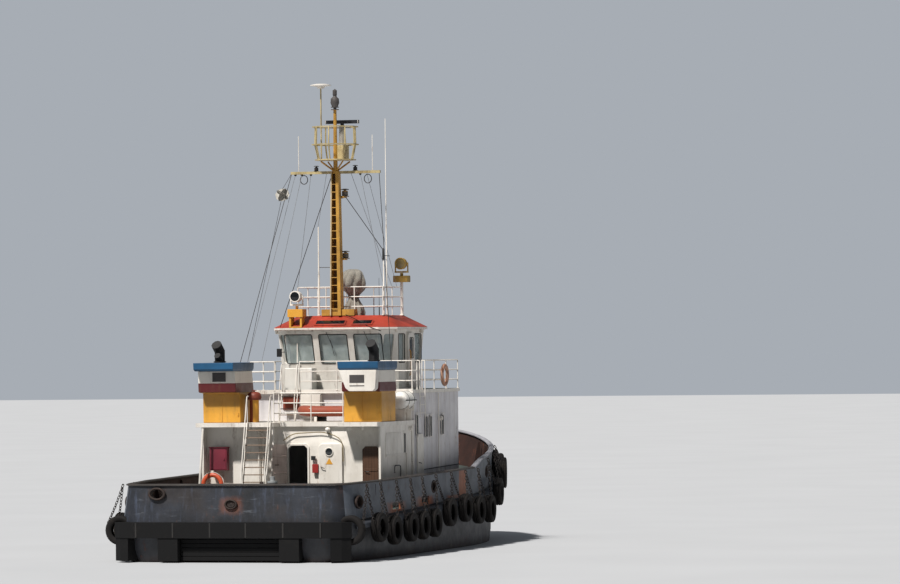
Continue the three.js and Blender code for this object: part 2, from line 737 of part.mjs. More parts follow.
function exhausts({ pipes, foot }) {
  const low = CAP_WELL.floor + GAP;
  const [x0, x1, y0, y1] = foot;
  const pieces = pipes.flatMap(([x, y, radius, rise]) => {
    const bend = v(x, y, low + rise);
    const mouth = bend.clone().add(v(-radius * 1.35, radius * 0.2, radius * 1.1));
    const back = bend.clone().add(v(radius * 0.15, 0, -radius * 0.3));
    return [rod(v(x, y, low), bend, radius, 10), rod(back, mouth, radius, 10)];
  });
  return join([block([x0, x1], [y0, y1], [low, low + 40]), ...pieces]);
}

// White tapered vent housing on the starboard funnel's aft face, under the cap. Points are (y, z)
const VENT_HOUSING = { aft: -7200, fore: -6700 };

function ventHousing() {
  const profile = [
    [-3400, 6550],
    [-2000, 6550],
    [-2240, 5920],
    [-2380, 5800],
    [-3250, 5800],
    [-3345, 5890],
  ];
  const body = prism("x", profile, VENT_HOUSING.aft, VENT_HOUSING.fore);
  return body.subtract(moved(funnel(-1), -GAP, 0, 0));
}

// Mast: a tapered channel open aft, with rungs between its flanges, a crosstree, and struts to the basket.
// The main stays' feet are on the boat deck
const POLE_TOP = 16060;
const STAY_FOOT = { x: -4520, y: 3240 };
// All-round lamps on the pole's head, as (radius, height)
const HEAD_LAMPS = [
  [0, 0], [150, 0], [150, 30], [60, 30], [60, 90], [150, 90], [150, 120], [110, 120],
  [165, 260], [150, 420], [90, 470], [60, 520], [80, 540], [80, 720], [0, 780],
];
const MAST = { halfFoot: 210, halfHead: 150, deepFoot: 400, deepHead: 260, rungs: 17, rungPitch: 285 };

function mastSection(half, deep, z) {
  const back = MAST_X + deep / 2;
  const open = MAST_X - deep / 2;
  const plate = 45;
  const lip = 120;
  return [
    [back, half],
    [open, half],
    [open, half - plate],
    [back - plate, half - plate],
    [back - plate, -half + plate],
    [open + plate, -half + plate],
    [open + plate, -half + lip],
    [open, -half + lip],
    [open, -half],
    [back, -half],
  ].map(([x, y]) => v(x, y, z));
}

function mastColumn() {
  const low = mastSection(MAST.halfFoot, MAST.deepFoot, ROOF_Z + GAP);
  const high = mastSection(MAST.halfHead, MAST.deepHead, CROSSTREE_Z + 50);
  const count = low.length;
  const positions = [...low, ...high].flatMap((p) => [p.x, p.y, p.z]);
  const faces = [];
  for (let j = 0; j < count; j++) {
    const k = (j + 1) % count;
    faces.push(j, k, count + k, j, count + k, count + j);
  }
  const cap = THREE.ShapeUtils.triangulateShape(low.map((p) => new THREE.Vector2(p.x, p.y)), []);
  const turnsLeft = THREE.ShapeUtils.area(low.map((p) => new THREE.Vector2(p.x, p.y))) > 0;
  for (const [a, b, c] of cap) {
    if (turnsLeft) faces.push(a, c, b, count + a, count + b, count + c);
    else faces.push(a, b, c, count + a, count + c, count + b);
  }
  return solidFrom(positions, faces);
}

function mast() {
  const pieces = [mastColumn()];
  for (let i = 0; i < MAST.rungs; i++) {
    const z = ROOF_Z + 250 + i * MAST.rungPitch;
    const share = (z - ROOF_Z) / (CROSSTREE_Z - ROOF_Z);
    const half = THREE.MathUtils.lerp(MAST.halfFoot, MAST.halfHead, share) - 20;
    const x = MAST_X - THREE.MathUtils.lerp(MAST.deepFoot, MAST.deepHead, share) / 2 + 25;
    pieces.push(rod(v(x, -half, z), v(x, half, z), 18, 4));
  }
  const arm = 1720;
  pieces.push(block([MAST_X - 50, MAST_X + 50], [-arm, arm], [CROSSTREE_Z - 50, CROSSTREE_Z + 50]));
  for (const side of [1, -1]) {
    pieces.push(rod(v(MAST_X, side * 1420, CROSSTREE_Z), v(MAST_X, side * 1420, 15130), 16, 4));
    for (const fore of [1, -1]) {
      const head = v(MAST_X + fore * 420, side * 420, BASKET.floor + 20);
      pieces.push(rod(v(MAST_X, 0, CROSSTREE_Z + 10), head, 32, 4));
    }
  }
  // Foot boxes beside the mast, and two lamp brackets on its fore side
  const foot = ROOF_Z + GAP;
  pieces.push(block([MAST_X - 120, MAST_X + 260], [-700, 560], [foot, foot + 230]));
  for (const z of [10620, 12900]) {
    const y = -250;
    pieces.push(block([MAST_X + 60, MAST_X + 420], [y - 40, y + 130], [z - 60, z]));
    pieces.push(rod(v(MAST_X + 320, y, z - 20), v(MAST_X + 320, y, z + 170), 75, 8));
    pieces.push(rod(v(MAST_X + 320, y, z + 160), v(MAST_X + 320, y, z + 200), 110, 8));
  }
  pieces.push(rod(v(MAST_X, 0, CROSSTREE_Z), v(MAST_X, 0, POLE_TOP), 85, 8, 60));
  pieces.push(turned(HEAD_LAMPS, v(MAST_X, 0, POLE_TOP - 1), v(0, 0, 1), 12));
  for (const side of [1, -1]) {
    const head = v(MAST_X - 20, side * 1680, CROSSTREE_Z);
    pieces.push(rod(v(STAY_FOOT.x, side * STAY_FOOT.y, BOAT_DECK_Z + CLEAR), head, 14, 3));
  }
  return join(pieces);
}

const BASKET = { floor: 14150, mid: 14790, top: 15440, floorHalf: 700, midHalf: 870, topHalf: 850, sides: 8 };

function basketRing(radius, z) {
  const ring = (r) =>
    Array.from({ length: BASKET.sides }, (_, i) => {
      const angle = ((i + 0.5) * 2 * Math.PI) / BASKET.sides;
      return [MAST_X + r * Math.cos(angle), r * Math.sin(angle)];
    });
  return prism("z", ring(radius), z - RAIL / 2, z + RAIL / 2, [ring(radius - RAIL)]);
}

function basket() {
  const { floor, mid, top, floorHalf, midHalf, topHalf, sides } = BASKET;
  const outline = roundedBox(MAST_X - floorHalf, MAST_X + floorHalf, -floorHalf, floorHalf, 400);
  const plate = prism("z", outline, floor + 60, floor + 100);
  const pieces = [plate, basketRing(midHalf, mid), basketRing(topHalf, top), discAerial()];
  for (let i = 0; i < sides; i++) {
    const angle = (i * 2 * Math.PI) / sides;
    const post = bentBar(
      [[floorHalf - 40, floor + 80], [midHalf * 0.924 - 20, mid], [topHalf * 0.924 - 20, top]],
      RAIL,
      -RAIL / 2,
      RAIL / 2,
    );
    const turn = [0, 0, THREE.MathUtils.radToDeg(angle)];
    pieces.push(...post.map((piece) => moved(piece.rotate(turn), MAST_X, 0, 0)));
  }
  // Radar turning unit on the fore side
  pieces.push(block([RADAR_X - 330, RADAR_X + 190], [-190, 190], [floor + 90, mid]));
  pieces.push(rod(v(RADAR_X, 0, mid - 10), v(RADAR_X, 0, RADAR_Z - 60 - CLEAR), 150, 10, 110));
  const well = rod(v(MAST_X, 0, floor - 100), v(MAST_X, 0, 16000), 96, 10);
  return join(pieces).subtract(well).subtract(mastClearance());
}
const RADAR_X = MAST_X + 850;
const RADAR_Z = 15590;

// The mast with a little room round it, for what is fixed to it
function mastClearance() {
  const pieces = [];
  for (const side of [1, -1]) {
    for (const fore of [1, -1]) {
      const end = v(MAST_X + fore * 422, side * 422, BASKET.floor + 22);
      pieces.push(rod(v(MAST_X, 0, CROSSTREE_Z), end.clone().add(v(fore * 4, side * 4, 4)), 36, 4));
    }
  }
  return join(pieces);
}

function radarScanner() {
  const bar = block([RADAR_X - 60, RADAR_X + 60], [-640, 640], [RADAR_Z, RADAR_Z + 130]);
  const stem = rod(v(RADAR_X, 0, RADAR_Z - 60), v(RADAR_X, 0, RADAR_Z + 20), 70, 12);
  return join([bar, stem]);
}

// Disc aerial on a slim pole that stands on the basket's floor
function discAerial() {
  const [x, y] = [MAST_X - 60, 520];
  const foot = BASKET.floor + 80;
  const pole = rod(v(x, y, foot), v(x, y, 16900), 28, 6);
  const profile = [[0, 0], [120, 0], [150, 60], [385, 100], [385, 130], [200, 165], [0, 175]];
  return join([pole, turned(profile, v(x, y, 16860), v(0, 0, 1), 16)]);
}

// A bent flat bar in the upright plane along x, from y0 to y1
function bentBar(points, width, y0, y1) {
  return points.slice(1).map(([bx, bz], i) => {
    const [ax, az] = points[i];
    const scale = width / 2 / Math.hypot(bx - ax, bz - az);
    const [nx, nz] = [-(bz - az) * scale, (bx - ax) * scale];
    const [ex, ez] = [nz * 0.4, -nx * 0.4];
    return prism(
      "y",
      [
        [ax + nx - ex, az + nz - ez],
        [ax - nx - ex, az - nz - ez],
        [bx - nx + ex, bz - nz + ez],
        [bx + nx + ex, bz + nz + ez],
      ],
      y0,
      y1,
    );
  });
}

// Stairs: two stringers with a handrail above each, and treads between
function flight({ foot, head, y: [a, b], steps, rail, railFoot }) {
  const pieces = [];
  const climb = head.clone().sub(foot);
  for (const side of [a, b]) {
    const low = [[foot.x - 60, foot.z], [foot.x + 60, foot.z]];
    const stringer = [...low, [head.x + 60, head.z], [head.x - 60, head.z]];
    pieces.push(prism("y", stringer, side - RAIL / 2, side + RAIL / 2));
    const end = [head.x - 40, head.z + rail];
    const handrail = [[foot.x, foot.z + 120], [foot.x - 40, foot.z + railFoot], end, [head.x + 120, end[1]]];
    pieces.push(...bentBar(handrail, RAIL, side - RAIL / 2, side + RAIL / 2));
    pieces.push(...bentBar([[head.x, head.z - 30], end], RAIL, side - RAIL / 2, side + RAIL / 2));
  }
  for (let i = 1; i <= steps; i++) {
    const at = foot.clone().addScaledVector(climb, i / (steps + 1));
    pieces.push(block([at.x - 70, at.x + 70], [a, b], [at.z - 15, at.z + 15]));
  }
  return join(pieces);
}

const STAIR_Y = [545, 1420];

function boatDeckStair() {
  const head = v(WING_X - 65, 0, BOAT_DECK_Z);
  const foot = v(head.x - 900, 0, 1300);
  return onDeck(flight({ foot, head, y: STAIR_Y, steps: 12, rail: 950, railFoot: 900 }));
}

// Railings: posts and three rails along a path on a flat deck
function railing(path, floor, pitch) {
  const pieces = [];
  path.slice(1).forEach(([bx, by], i) => {
    const [ax, ay] = path[i];
    for (const height of RAIL_HEIGHTS) {
      const z = floor + height;
      const reach = v(Math.sign(bx - ax), Math.sign(by - ay), 0).multiplyScalar(RAIL / 2);
      pieces.push(bar(v(ax, ay, z).sub(reach), v(bx, by, z).add(reach), RAIL));
    }
    const count = Math.max(1, Math.round(Math.hypot(bx - ax, by - ay) / pitch));
    for (let k = 0; k <= count; k++) {
      const [x, y] = [ax + ((bx - ax) * k) / count, ay + ((by - ay) * k) / count];
      pieces.push(bar(v(x, y, floor + GAP), v(x, y, floor + RAIL_HEIGHTS[2]), RAIL));
    }
  });
  return join(pieces);
}

function boatDeckRail() {
  const edge = AFT_WALL_X - 60;
  const wing = WING_X + 200;
  const inboard = PORT_WING_Y + 40;
  return railing([[wing, inboard], [edge, inboard], [edge, -1880]], BOAT_DECK_Z, 1350);
}

// The bridge deck's rails, with a coaming strip on its aft edge that the two ladders hook over
const BRIDGE_LADDER_Y = [1000, 1600];
const PORT_STEP = { x: -1200, y: 2850 }; // the port rail steps outboard here
const SIDE_LADDER = { x: [-2130, -1500], y: -3450, low: 4780, top: 6850 };

function bridgeRails() {
  const half = HOUSE_HALF - 20;
  const edge = STEP_X - 120 - GAP;
  const aft = edge - 20;
  const fore = FORE_WALL_X + 40;
  const [near, far] = BRIDGE_LADDER_Y;
  const [ladderAft, ladderFore] = SIDE_LADDER.x;
  const strip = block([edge - 40, edge], [-half - 40, half + 40], [BRIDGE_DECK_Z - 120, BRIDGE_DECK_Z + 30]);
  const starboard = railing([[ladderAft, -half], [aft, -half], [aft, near - 60]], BRIDGE_DECK_Z, 1500);
  const portAft = [[aft, far + 300], [aft, PORT_STEP.y], [PORT_STEP.x, PORT_STEP.y], [PORT_STEP.x, half]];
  const port = [...portAft, [fore, half], [fore, -half], [ladderFore, -half]];
  const foot = v(edge - 430, 0, BOAT_DECK_Z + GAP);
  const head = v(edge - 75, 0, BRIDGE_DECK_Z);
  const ladder = flight({ foot, head, y: BRIDGE_LADDER_Y, steps: 4, rail: 950, railFoot: 700 });
  return join([strip, starboard, railing(port, BRIDGE_DECK_Z, 1500), ladder, sideLadder()]);
}

// Upright ladder on the fore house's starboard side, held by the rail posts beside its opening
function sideLadder() {
  const { x: [x0, x1], y, low, top } = SIDE_LADDER;
  const pieces = [x0, x1].flatMap((x) => [
    bar(v(x, y, low), v(x, y, top + RAIL / 2), RAIL),
    bar(v(x, y, top), v(x, -HOUSE_HALF + 20, top), RAIL),
  ]);
  for (const z of [4950, 5250, 5550]) pieces.push(bar(v(x0, y, z), v(x1, y, z), 28));
  return join(pieces);
}

// Rail round the wheelhouse top, with the post of the starboard searchlight and the white aerial poles
const ROOF_RAIL = { aft: -750, fore: 1610, half: 1640 };
const LIGHT_POST = { x: 1610, y: -1640, top: 9760 };
const AERIALS = [
  { x: -750, y: 820, top: 11800, radius: 38 },
  { x: -620, y: -1640, top: 10800, radius: 38 },
  { x: -250, y: -1640, top: 15750, radius: 26 },
];

function roofRail() {
  const { aft, fore, half } = ROOF_RAIL;
  const path = [[aft, -half], [fore, -half], [fore, half], [aft, half], [aft, -half]];
  const pieces = [railing(path, ROOF_Z, 1300)];
  const foot = ROOF_Z + GAP;
  for (const { x, y, top, radius } of AERIALS) {
    pieces.push(rod(v(x, y, foot), v(x, y, top), radius, 5, radius * 0.5));
  }
  const { x, y, top } = LIGHT_POST;
  pieces.push(bar(v(x, y, foot), v(x, y, top), 110));
  pieces.push(block([x - 200, x + 200], [y - 280, y + 280], [top - 10, top + 240]));
  pieces.push(rod(v(x, y, top + 230), v(x, y, top + 330), 60, 8));
  return join(pieces);
}

// Bracket for the port searchlight: a box on two legs at the aft eave
const PORT_LIGHT = { x: -1720, y: 1360, low: 8480, high: 8770 };
function portLightBracket() {
  const { x, y, low, high } = PORT_LIGHT;
  const box = block([x - 230, x + 230], [y - 290, y + 290], [low, high]);
  const legs = [-210, 210].map((dy) => {
    return block([x - 190, x - 130], [y + dy - 35, y + dy + 35], [8105, low + 10]);
  });
  const shelf = block([x - 190, x + 160], [y - 245, y + 245], [8092, 8130]);
  const post = rod(v(x, y, high - 10), v(x, y, high + 120), 50, 8);
  const feet = [-200, 200].map((dy) => {
    return block([x - 60, x + 200], [y + dy - 30, y + dy + 30], [8100, low + 10]);
  });
  const made = join([box, ...legs, shelf, post, ...feet]);
  return made.subtract(moved(wheelRoof(), 0, 0, GAP)).subtract(roofFill());
}

// The room over and under the sloping roof edge, so that what stands there is trimmed to it
function roofFill() {
  const { aft, fore, lean, chamfer } = WHEELHOUSE;
  const [a, f, half] = [aft - lean - 120, fore + lean + 120, WHEELHOUSE_HALF + 130];
  const c = chamfer + 60;
  const low = octagon(a, f, half, c, EAVE_Z - 50);
  const mid = octagon(a, f, half, c, EAVE_Z + 90 + GAP);
  const high = octagon(a + ROOF_SLOPE, f - ROOF_SLOPE, half - ROOF_SLOPE, c, ROOF_Z + GAP);
  return skin([low, mid, high]);
}

// A searchlight head: drum and yoke, which pans on its post
function searchlight(x, y, low, radius, length) {
  const z = low + CLEAR;
  const centre = z + 90 + radius + 40;
  const yoke = [1, -1].map((side) => {
    const plate = side * (radius + 30);
    return block([x - 40, x + 40], [y + plate - 15, y + plate + 15], [z + 50, centre + 40]);
  });
  const base = block([x - 60, x + 60], [y - radius - 45, y + radius + 45], [z, z + 60]);
  const half = length / 2;
  const profile = [[0, -half], [radius, -half], [radius, length * 0.2], [radius * 0.55, half], [0, half]];
  const drum = turned(profile, v(x, y, centre), v(1, 0, 0), 14);
  const pins = rod(v(x, y - radius - 35, centre), v(x, y + radius + 35, centre), 25, 6);
  return join([...yoke, base, drum, pins]);
}

// Fire monitor under a tied canvas cover
function coveredMonitor() {
  const profile = [
    [0, 0], [330, 0], [300, 420], [170, 640], [190, 820],
    [430, 1080], [500, 1400], [380, 1640], [120, 1740], [0, 1740],
  ];
  return turned(profile, v(900, 0, ROOF_Z + GAP), v(0, 0, 1), 14);
}

// Foredeck towing winch: side plates, base and a drum that turns in them
const WINCH = { x: 6300, z: 2950, half: 900, plate: 60 };

function winchFrame() {
  const { x, z, half, plate } = WINCH;
  const foot = [[x - 850, 1900], [x + 850, 1900]];
  const outline = [...foot, [x + 600, z + 150], [x + 200, z + 430], [x - 200, z + 430], [x - 600, z + 150]];
  const pieces = [half, -half - plate].map((y) => prism("y", outline, y, y + plate));
  pieces.push(block([x - 850, x + 850], [-half - 10, half + 10], [1900, 2330]));
  pieces.push(block([x - 420, x + 420], [half + plate - 5, half + 620], [1900, z + 120]));
  pieces.push(rod(v(x - 720, -half, 2750), v(x - 720, half, 2750), 60, 8));
  const bore = rod(v(x, -half - 300, z), v(x, half + 70, z), 80, 12);
  return onDeck(join(pieces).subtract(bore));
}

function winchDrum() {
  const { x, z, half } = WINCH;
  const inside = half - CLEAR;
  const out = -half - 60;
  const profile = [
    [0, out - 380], [150, out - 380], [260, out - 330], [170, out - 200], [200, out - 60], [72, out - 20],
    [72, -inside], [560, -inside], [560, -inside + 50], [260, -inside + 60], [260, inside - 60],
    [560, inside - 50], [560, inside], [72, inside], [72, half + 40], [0, half + 40],
  ];
  return turned(profile, v(x, 0, z), v(0, 1, 0), 16);
}

// Two bollards across the foredeck on one plate, with a bar through both
function bowBitts() {
  const [x, spread] = [10200, 330];
  const high = sheer(x) + 820;
  const posts = [spread, -spread].flatMap((y) => [
    rod(v(x, y, 1200), v(x, y, high), 130, 10),
    rod(v(x, y, high - 5), v(x, y, high + 40), 165, 10),
  ]);
  const bar = rod(v(x, -1.8 * spread, high - 280), v(x, 1.8 * spread, high - 280), 70, 8);
  const plate = block([x - 230, x + 230], [-600, 600], [1000, sheer(x) + 45]);
  return onDeck(join([...posts, bar, plate]));
}

// Towing post on the aft deck, with a hook that swings on it
const HOOK = { x: -8700, z: 2480 };

function towPost() {
  const { x, z } = HOOK;
  const low = v(x, 0, 1200);
  return onDeck(
    join([
      rod(low, v(x, 0, z - 110 - CLEAR), 260, 12, 200),
      rod(low, v(x, 0, z + 360), 90, 12),
      rod(v(x, 0, z + 110 + CLEAR), v(x, 0, z + 200), 190, 12),
      block([x - 450, x + 450], [-450, 450], [1000, sheer(x) + 60]),
    ]),
  );
}

function towHook() {
  const { x, z } = HOOK;
  const arm = block([x - 900, x], [-60, 60], [z - 90, z + 90]);
  const collar = rod(v(x, 0, z - 110), v(x, 0, z + 110), 190, 12);
  const outline = [
    [x - 860, z - 150], [x - 1180, z - 150], [x - 1260, z + 40], [x - 1220, z + 210],
    [x - 1120, z + 210], [x - 1120, z + 20], [x - 1040, z - 10], [x - 860, z - 10],
  ];
  const bill = prism("y", outline, -55, 55);
  const bore = rod(v(x, 0, z - 200), v(x, 0, z + 200), 100, 12);
  return join([arm, collar, bill]).subtract(bore);
}

// Inflatable dinghy on two chocks, lying across the boat deck, bow to port
const DINGHY = { x: -4130, y: [-2030, 540], half: 640, low: 4870, high: 5260 };

function dinghyPlan(inset) {
  const { x, y, half } = DINGHY;
  const [y0, y1] = [y[0] + inset, y[1] - inset];
  const h = half - inset;
  return [
    [x + h, y0], [x + h, y1 - 900 + inset], [x + h * 0.78, y1 - 430], [x + h * 0.38, y1 - 90], [x, y1],
    [x - h * 0.38, y1 - 90], [x - h * 0.78, y1 - 430], [x - h, y1 - 900 + inset], [x - h, y0],
  ];
}

function dinghy() {
  const body = prism("z", dinghyPlan(0), DINGHY.low, DINGHY.high);
  const well = prism("z", dinghyPlan(330), DINGHY.low + 120, DINGHY.high + 50);
  return body.subtract(well);
}

function dinghyChocks() {
  const { x, half, low } = DINGHY;
  return [-1500, -300].map((y) => {
    return block([x - half + 60, x + half - 60], [y - 50, y + 50], [BOAT_DECK_Z - 20, low - GAP]);
  });
}

// Life raft in its cradle at the boat deck's edge
const RAFT = { x: [-4030, -2780], y: 3220, z: 5430, radius: 330 };

function raft() {
  const [x0, x1] = RAFT.x;
  const profile = [[0, x0], [250, x0], [RAFT.radius, x0 + 90], [RAFT.radius, x1 - 90], [250, x1], [0, x1]];
  return turned(profile, v(0, -RAFT.y, RAFT.z), v(1, 0, 0), 14);
}

function raftCradle() {
  const { x, y, z, radius } = RAFT;
  const room = rod(v(x[0] - 100, -y, z), v(x[1] + 100, -y, z), radius + 4, 28);
  return [x[0] + 250, x[1] - 250].map((at) => {
    const post = block([at - 30, at + 30], [-y - 170, -y + 300], [BOAT_DECK_Z - 20, z - radius * 0.7]);
    return post.subtract(room);
  });
}

function deckLocker() {
  return block([-2060, -1500], [690, 1740], [BRIDGE_DECK_Z + GAP, 6620]);
}

// Azimuth thruster: leg, gear pod and nozzle turn as one. The propeller turns in the nozzle
const NOZZLE = { back: -800, front: 20, inner: 850, outer: 1000 };

function thruster(side) {
  const y = side * THRUSTER_Y;
  const [x, z] = [THRUSTER_X, THRUSTER_Z];
  const top = THRUSTER_WELL_Z - CLEAR;
  const { back, front, inner, outer } = NOZZLE;
  const nozzleProfile = [
    [inner + 25, back], [inner, back + 250], [inner, front - 220], [inner + 80, front - 20],
    [outer - 20, front], [outer, front - 120], [outer - 40, back + 200], [inner + 40, back],
  ];
  const nozzle = turned([...nozzleProfile, nozzleProfile[0]], v(x, y, z), v(1, 0, 0), 20);
  const aft = [[x + 60, y + 120], [x - 60, y], [x + 60, y - 120]];
  const leg = prism("z", [[x + 520, y], [x + 330, y + 140], ...aft, [x + 330, y - 140]], z, top - 30);
  const flange = rod(v(x, y, top - 120), v(x, y, top), 520, 16);
  const web = [
    [x + 60, z + 700], [x + 300, z + 1000], [x - 500, z + 1040], [x - 500, z + 960], [x - 60, z + 960],
  ];
  const bridge = prism("y", web, y - 60, y + 60);
  const podProfile = [[0, -120], [210, -120], [290, 60], [290, 420], [160, 760], [0, 840]];
  const pod = turned(podProfile, v(x, y, z), v(1, 0, 0), 14);
  const fins = [45, 135, 225, 315].map((degrees) => {
    const angle = THREE.MathUtils.degToRad(degrees);
    const reach = v(0, Math.cos(angle), Math.sin(angle));
    const from = v(x - 60, y, z).addScaledVector(reach, 150);
    const to = v(x - 60, y, z).addScaledVector(reach, inner + 60);
    return rod(from, to, 42, 6);
  });
  return join([nozzle, leg, flange, bridge, pod, ...fins]);
}

function propeller(side) {
  const y = side * THRUSTER_Y;
  const x = THRUSTER_X - 340;
  const hubProfile = [[0, -210], [90, -200], [170, -80], [180, 200 - CLEAR], [0, 200 - CLEAR]];
  const hub = turned(hubProfile, v(0, 0, 0), v(1, 0, 0), 12);
  const blades = Array.from({ length: 4 }, (_, i) => {
    const tip = [[250, 420], [240, 680], [90, 815], [-90, 815], [-240, 680], [-250, 420]];
    const outline = [[-110, 120], [110, 120], ...tip];
    const blade = prism("x", outline, -18, 18);
    return blade.rotate([0, 0, side * 38]).rotate([90 * i, 0, 0]);
  });
  const room = turned([[0, -155], [815, -155], [815, 155], [0, 155], [0, -155]], v(0, 0, 0), v(1, 0, 0), 32);
  const bladesTrimmed = join(blades).intersect(room);
  return moved(join([hub, bladesTrimmed]), x, y, THRUSTER_Z);
}

// The assembly
const tug = new THREE.Group();
const PAINT = {
  hullGrey: { color: 0x3b3f48, roughness: 0.6, metalness: 0.1 },
  antifouling: { color: 0x26252a, roughness: 0.8, metalness: 0 },
  white: { color: 0xdedbd6, roughness: 0.5, metalness: 0 },
  red: { color: 0xb8391f, roughness: 0.55, metalness: 0 },
  yellow: { color: 0xc98f1f, roughness: 0.5, metalness: 0 },
  blue: { color: 0x1c6296, roughness: 0.5, metalness: 0 },
  rubber: { color: 0x1a1a1b, roughness: 0.9, metalness: 0 },
  glass: { color: 0x5d7478, roughness: 0.1, metalness: 0 },
  black: { color: 0x151515, roughness: 0.7, metalness: 0.2 },
  teak: { color: 0x6b3f25, roughness: 0.7, metalness: 0 },
  orange: { color: 0xd0512a, roughness: 0.6, metalness: 0 },
  canvas: { color: 0x9c988c, roughness: 0.95, metalness: 0 },
  bronze: { color: 0xa07c3a, roughness: 0.4, metalness: 0.9 },
  steel: { color: 0x55585c, roughness: 0.6, metalness: 0.6 },
};

function add(name, solid, paint) {
  const mesh = new THREE.Mesh(geometryOf(solid), new THREE.MeshStandardMaterial(PAINT[paint]));
  mesh.name = name;
  tug.add(mesh);
}

const doorLow = sheer(AFT_WALL_X) + SILL;
const sideDoorLow = sheer(SIDE_DOOR.x[1]) + SILL;
const sideDoorShape = doorOutline(SIDE_DOOR.x, sideDoorLow, SIDE_DOOR.top, 45);

for (const [name, solid] of hullBlocks()) add(name, solid, "hullGrey");
add("skeg", skeg(), "antifouling");
add("bulwark", bulwark(), "hullGrey");
add("bulwark_rail", capRail(), "hullGrey");
add("stern_fender", sternFender(), "rubber");
add("tyre_fender_starboard", sideFender(), "rubber");
add("tyre_fender_port", mirrored(sideFender()), "rubber");
add("engines", engines(), "steel");
add("aft_house", aftHouse(), "white");
add("boat_deck", boatDeck(), "white");
add("fore_house", foreHouse(), "white");
add("bridge_deck", bridgeDeck(), "white");
add("wheelhouse", wheelhouse(), "white");
add("wheelhouse_glass", wheelGlass(), "glass");
add("wheelhouse_roof", wheelRoof(), "red");
add("helm_console", helmConsole(), "black");
const shutDoor = aftLeaf(AFT_DOORS.aft, doorLow);
add("aft_door", turnAbout(shutDoor, AFT_HINGE_X, AFT_DOORS.aft.y[1] + 45, -AFT_OPEN), "white");
add("store_door", aftLeaf(AFT_DOORS.store, doorLow), "white");
add("teak_door", aftLeaf(AFT_DOORS.teak, doorLow), "teak");
add("side_door_port", sideLeaf(sideDoorShape, HOUSE_HALF, 1), "white");
add("side_door_starboard", sideLeaf(sideDoorShape, HOUSE_HALF, -1), "white");
add("bridge_door_port", bridgeLeaf(1), "white");
add("bridge_door_starboard", bridgeLeaf(-1), "white");
add("funnel_port", funnel(1), "yellow");
add("funnel_starboard", funnel(-1), "yellow");
add("funnel_cap_port", funnelCap(1), "blue");
add("funnel_cap_starboard", funnelCap(-1), "blue");
add("exhausts_port", exhausts(EXHAUSTS.port), "black");
add("exhausts_starboard", exhausts(EXHAUSTS.starboard), "black");
add("vent_housing", ventHousing(), "white");
add("mast", mast(), "yellow");
add("mast_basket", basket(), "yellow");
add("radar_scanner", radarScanner(), "black");
add("boat_deck_stair", boatDeckStair(), "white");
add("boat_deck_rail", boatDeckRail(), "white");
add("bridge_deck_rail", bridgeRails(), "white");
add("roof_rail", roofRail(), "white");
add("searchlight_bracket", portLightBracket(), "yellow");
const portLamp = searchlight(PORT_LIGHT.x, PORT_LIGHT.y, PORT_LIGHT.high + 120, 200, 420);
add("searchlight_port", portLamp, "white");
const starboardLamp = searchlight(LIGHT_POST.x, LIGHT_POST.y, LIGHT_POST.top + 330, 210, 300);
add("searchlight_starboard", starboardLamp, "yellow");
add("covered_monitor", coveredMonitor(), "canvas");
add("winch_frame", winchFrame(), "steel");
add("winch_drum", winchDrum(), "steel");
add("bow_bitts", bowBitts(), "black");
add("tow_post", towPost(), "steel");
add("tow_hook", towHook(), "steel");
add("dinghy", dinghy(), "orange");
add("life_raft", raft(), "white");
add("deck_locker", deckLocker(), "white");
add("thruster_port", thruster(1), "antifouling");
add("thruster_starboard", thruster(-1), "antifouling");
add("propeller_port", propeller(1), "bronze");
add("propeller_starboard", propeller(-1), "bronze");

export default tug;
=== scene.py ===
# A harbour tug: steel hull and houses under worn paint, tyre fenders on chains, funnels far aft and a tall
# mast. Metres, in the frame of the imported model: +X towards the bow, +Y to port, +Z up, waterline at zero.
# Each section below is one piece, or one group of like pieces, in the order in which a yard would fit them.
import math
import bpy
from mathutils import Matrix, Vector


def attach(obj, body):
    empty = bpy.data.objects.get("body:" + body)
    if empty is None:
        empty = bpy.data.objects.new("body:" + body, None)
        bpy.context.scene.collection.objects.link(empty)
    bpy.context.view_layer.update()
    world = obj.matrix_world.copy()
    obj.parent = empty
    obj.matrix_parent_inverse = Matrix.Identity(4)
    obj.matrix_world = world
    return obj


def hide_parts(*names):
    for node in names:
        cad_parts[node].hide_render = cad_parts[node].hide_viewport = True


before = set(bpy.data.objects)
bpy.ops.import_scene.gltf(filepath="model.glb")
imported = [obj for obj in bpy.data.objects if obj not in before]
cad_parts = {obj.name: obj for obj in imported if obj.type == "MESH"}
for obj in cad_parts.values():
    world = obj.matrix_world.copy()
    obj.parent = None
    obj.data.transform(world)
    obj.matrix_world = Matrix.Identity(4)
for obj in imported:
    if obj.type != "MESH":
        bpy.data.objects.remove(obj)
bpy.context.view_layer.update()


# Camera, floor and light. The camera stands low on a quay, far off the starboard quarter, with a long lens.
# The floor lies at the waterline. One broad soft lamp stands for a high sun over the port quarter.
HEADING = math.radians(16.7)
EYE = Vector((-176.7, -57.0, 7.4))
FOCAL_PX, FRAME_PX = 5034, 900      # focal length and width of the frame, in the same pixels
LIFT = math.atan(53 / FOCAL_PX)
ROLL = math.radians(-0.6)

camera_data = bpy.data.cameras.new("camera")
camera_data.lens = camera_data.sensor_width * FOCAL_PX / FRAME_PX
camera_data.clip_end = 2000
camera = bpy.data.objects.new("camera", camera_data)
bpy.context.scene.collection.objects.link(camera)
bpy.context.scene.camera = camera
bpy.context.scene.view_settings.view_transform = "Standard"
aim = Vector((math.cos(HEADING) * math.cos(LIFT), math.sin(HEADING) * math.cos(LIFT), math.sin(LIFT)))
camera.rotation_mode = "QUATERNION"
camera.rotation_quaternion = aim.to_track_quat("-Z", "Y") @ Matrix.Rotation(ROLL, 4, "Z").to_quaternion()
camera.location = EYE


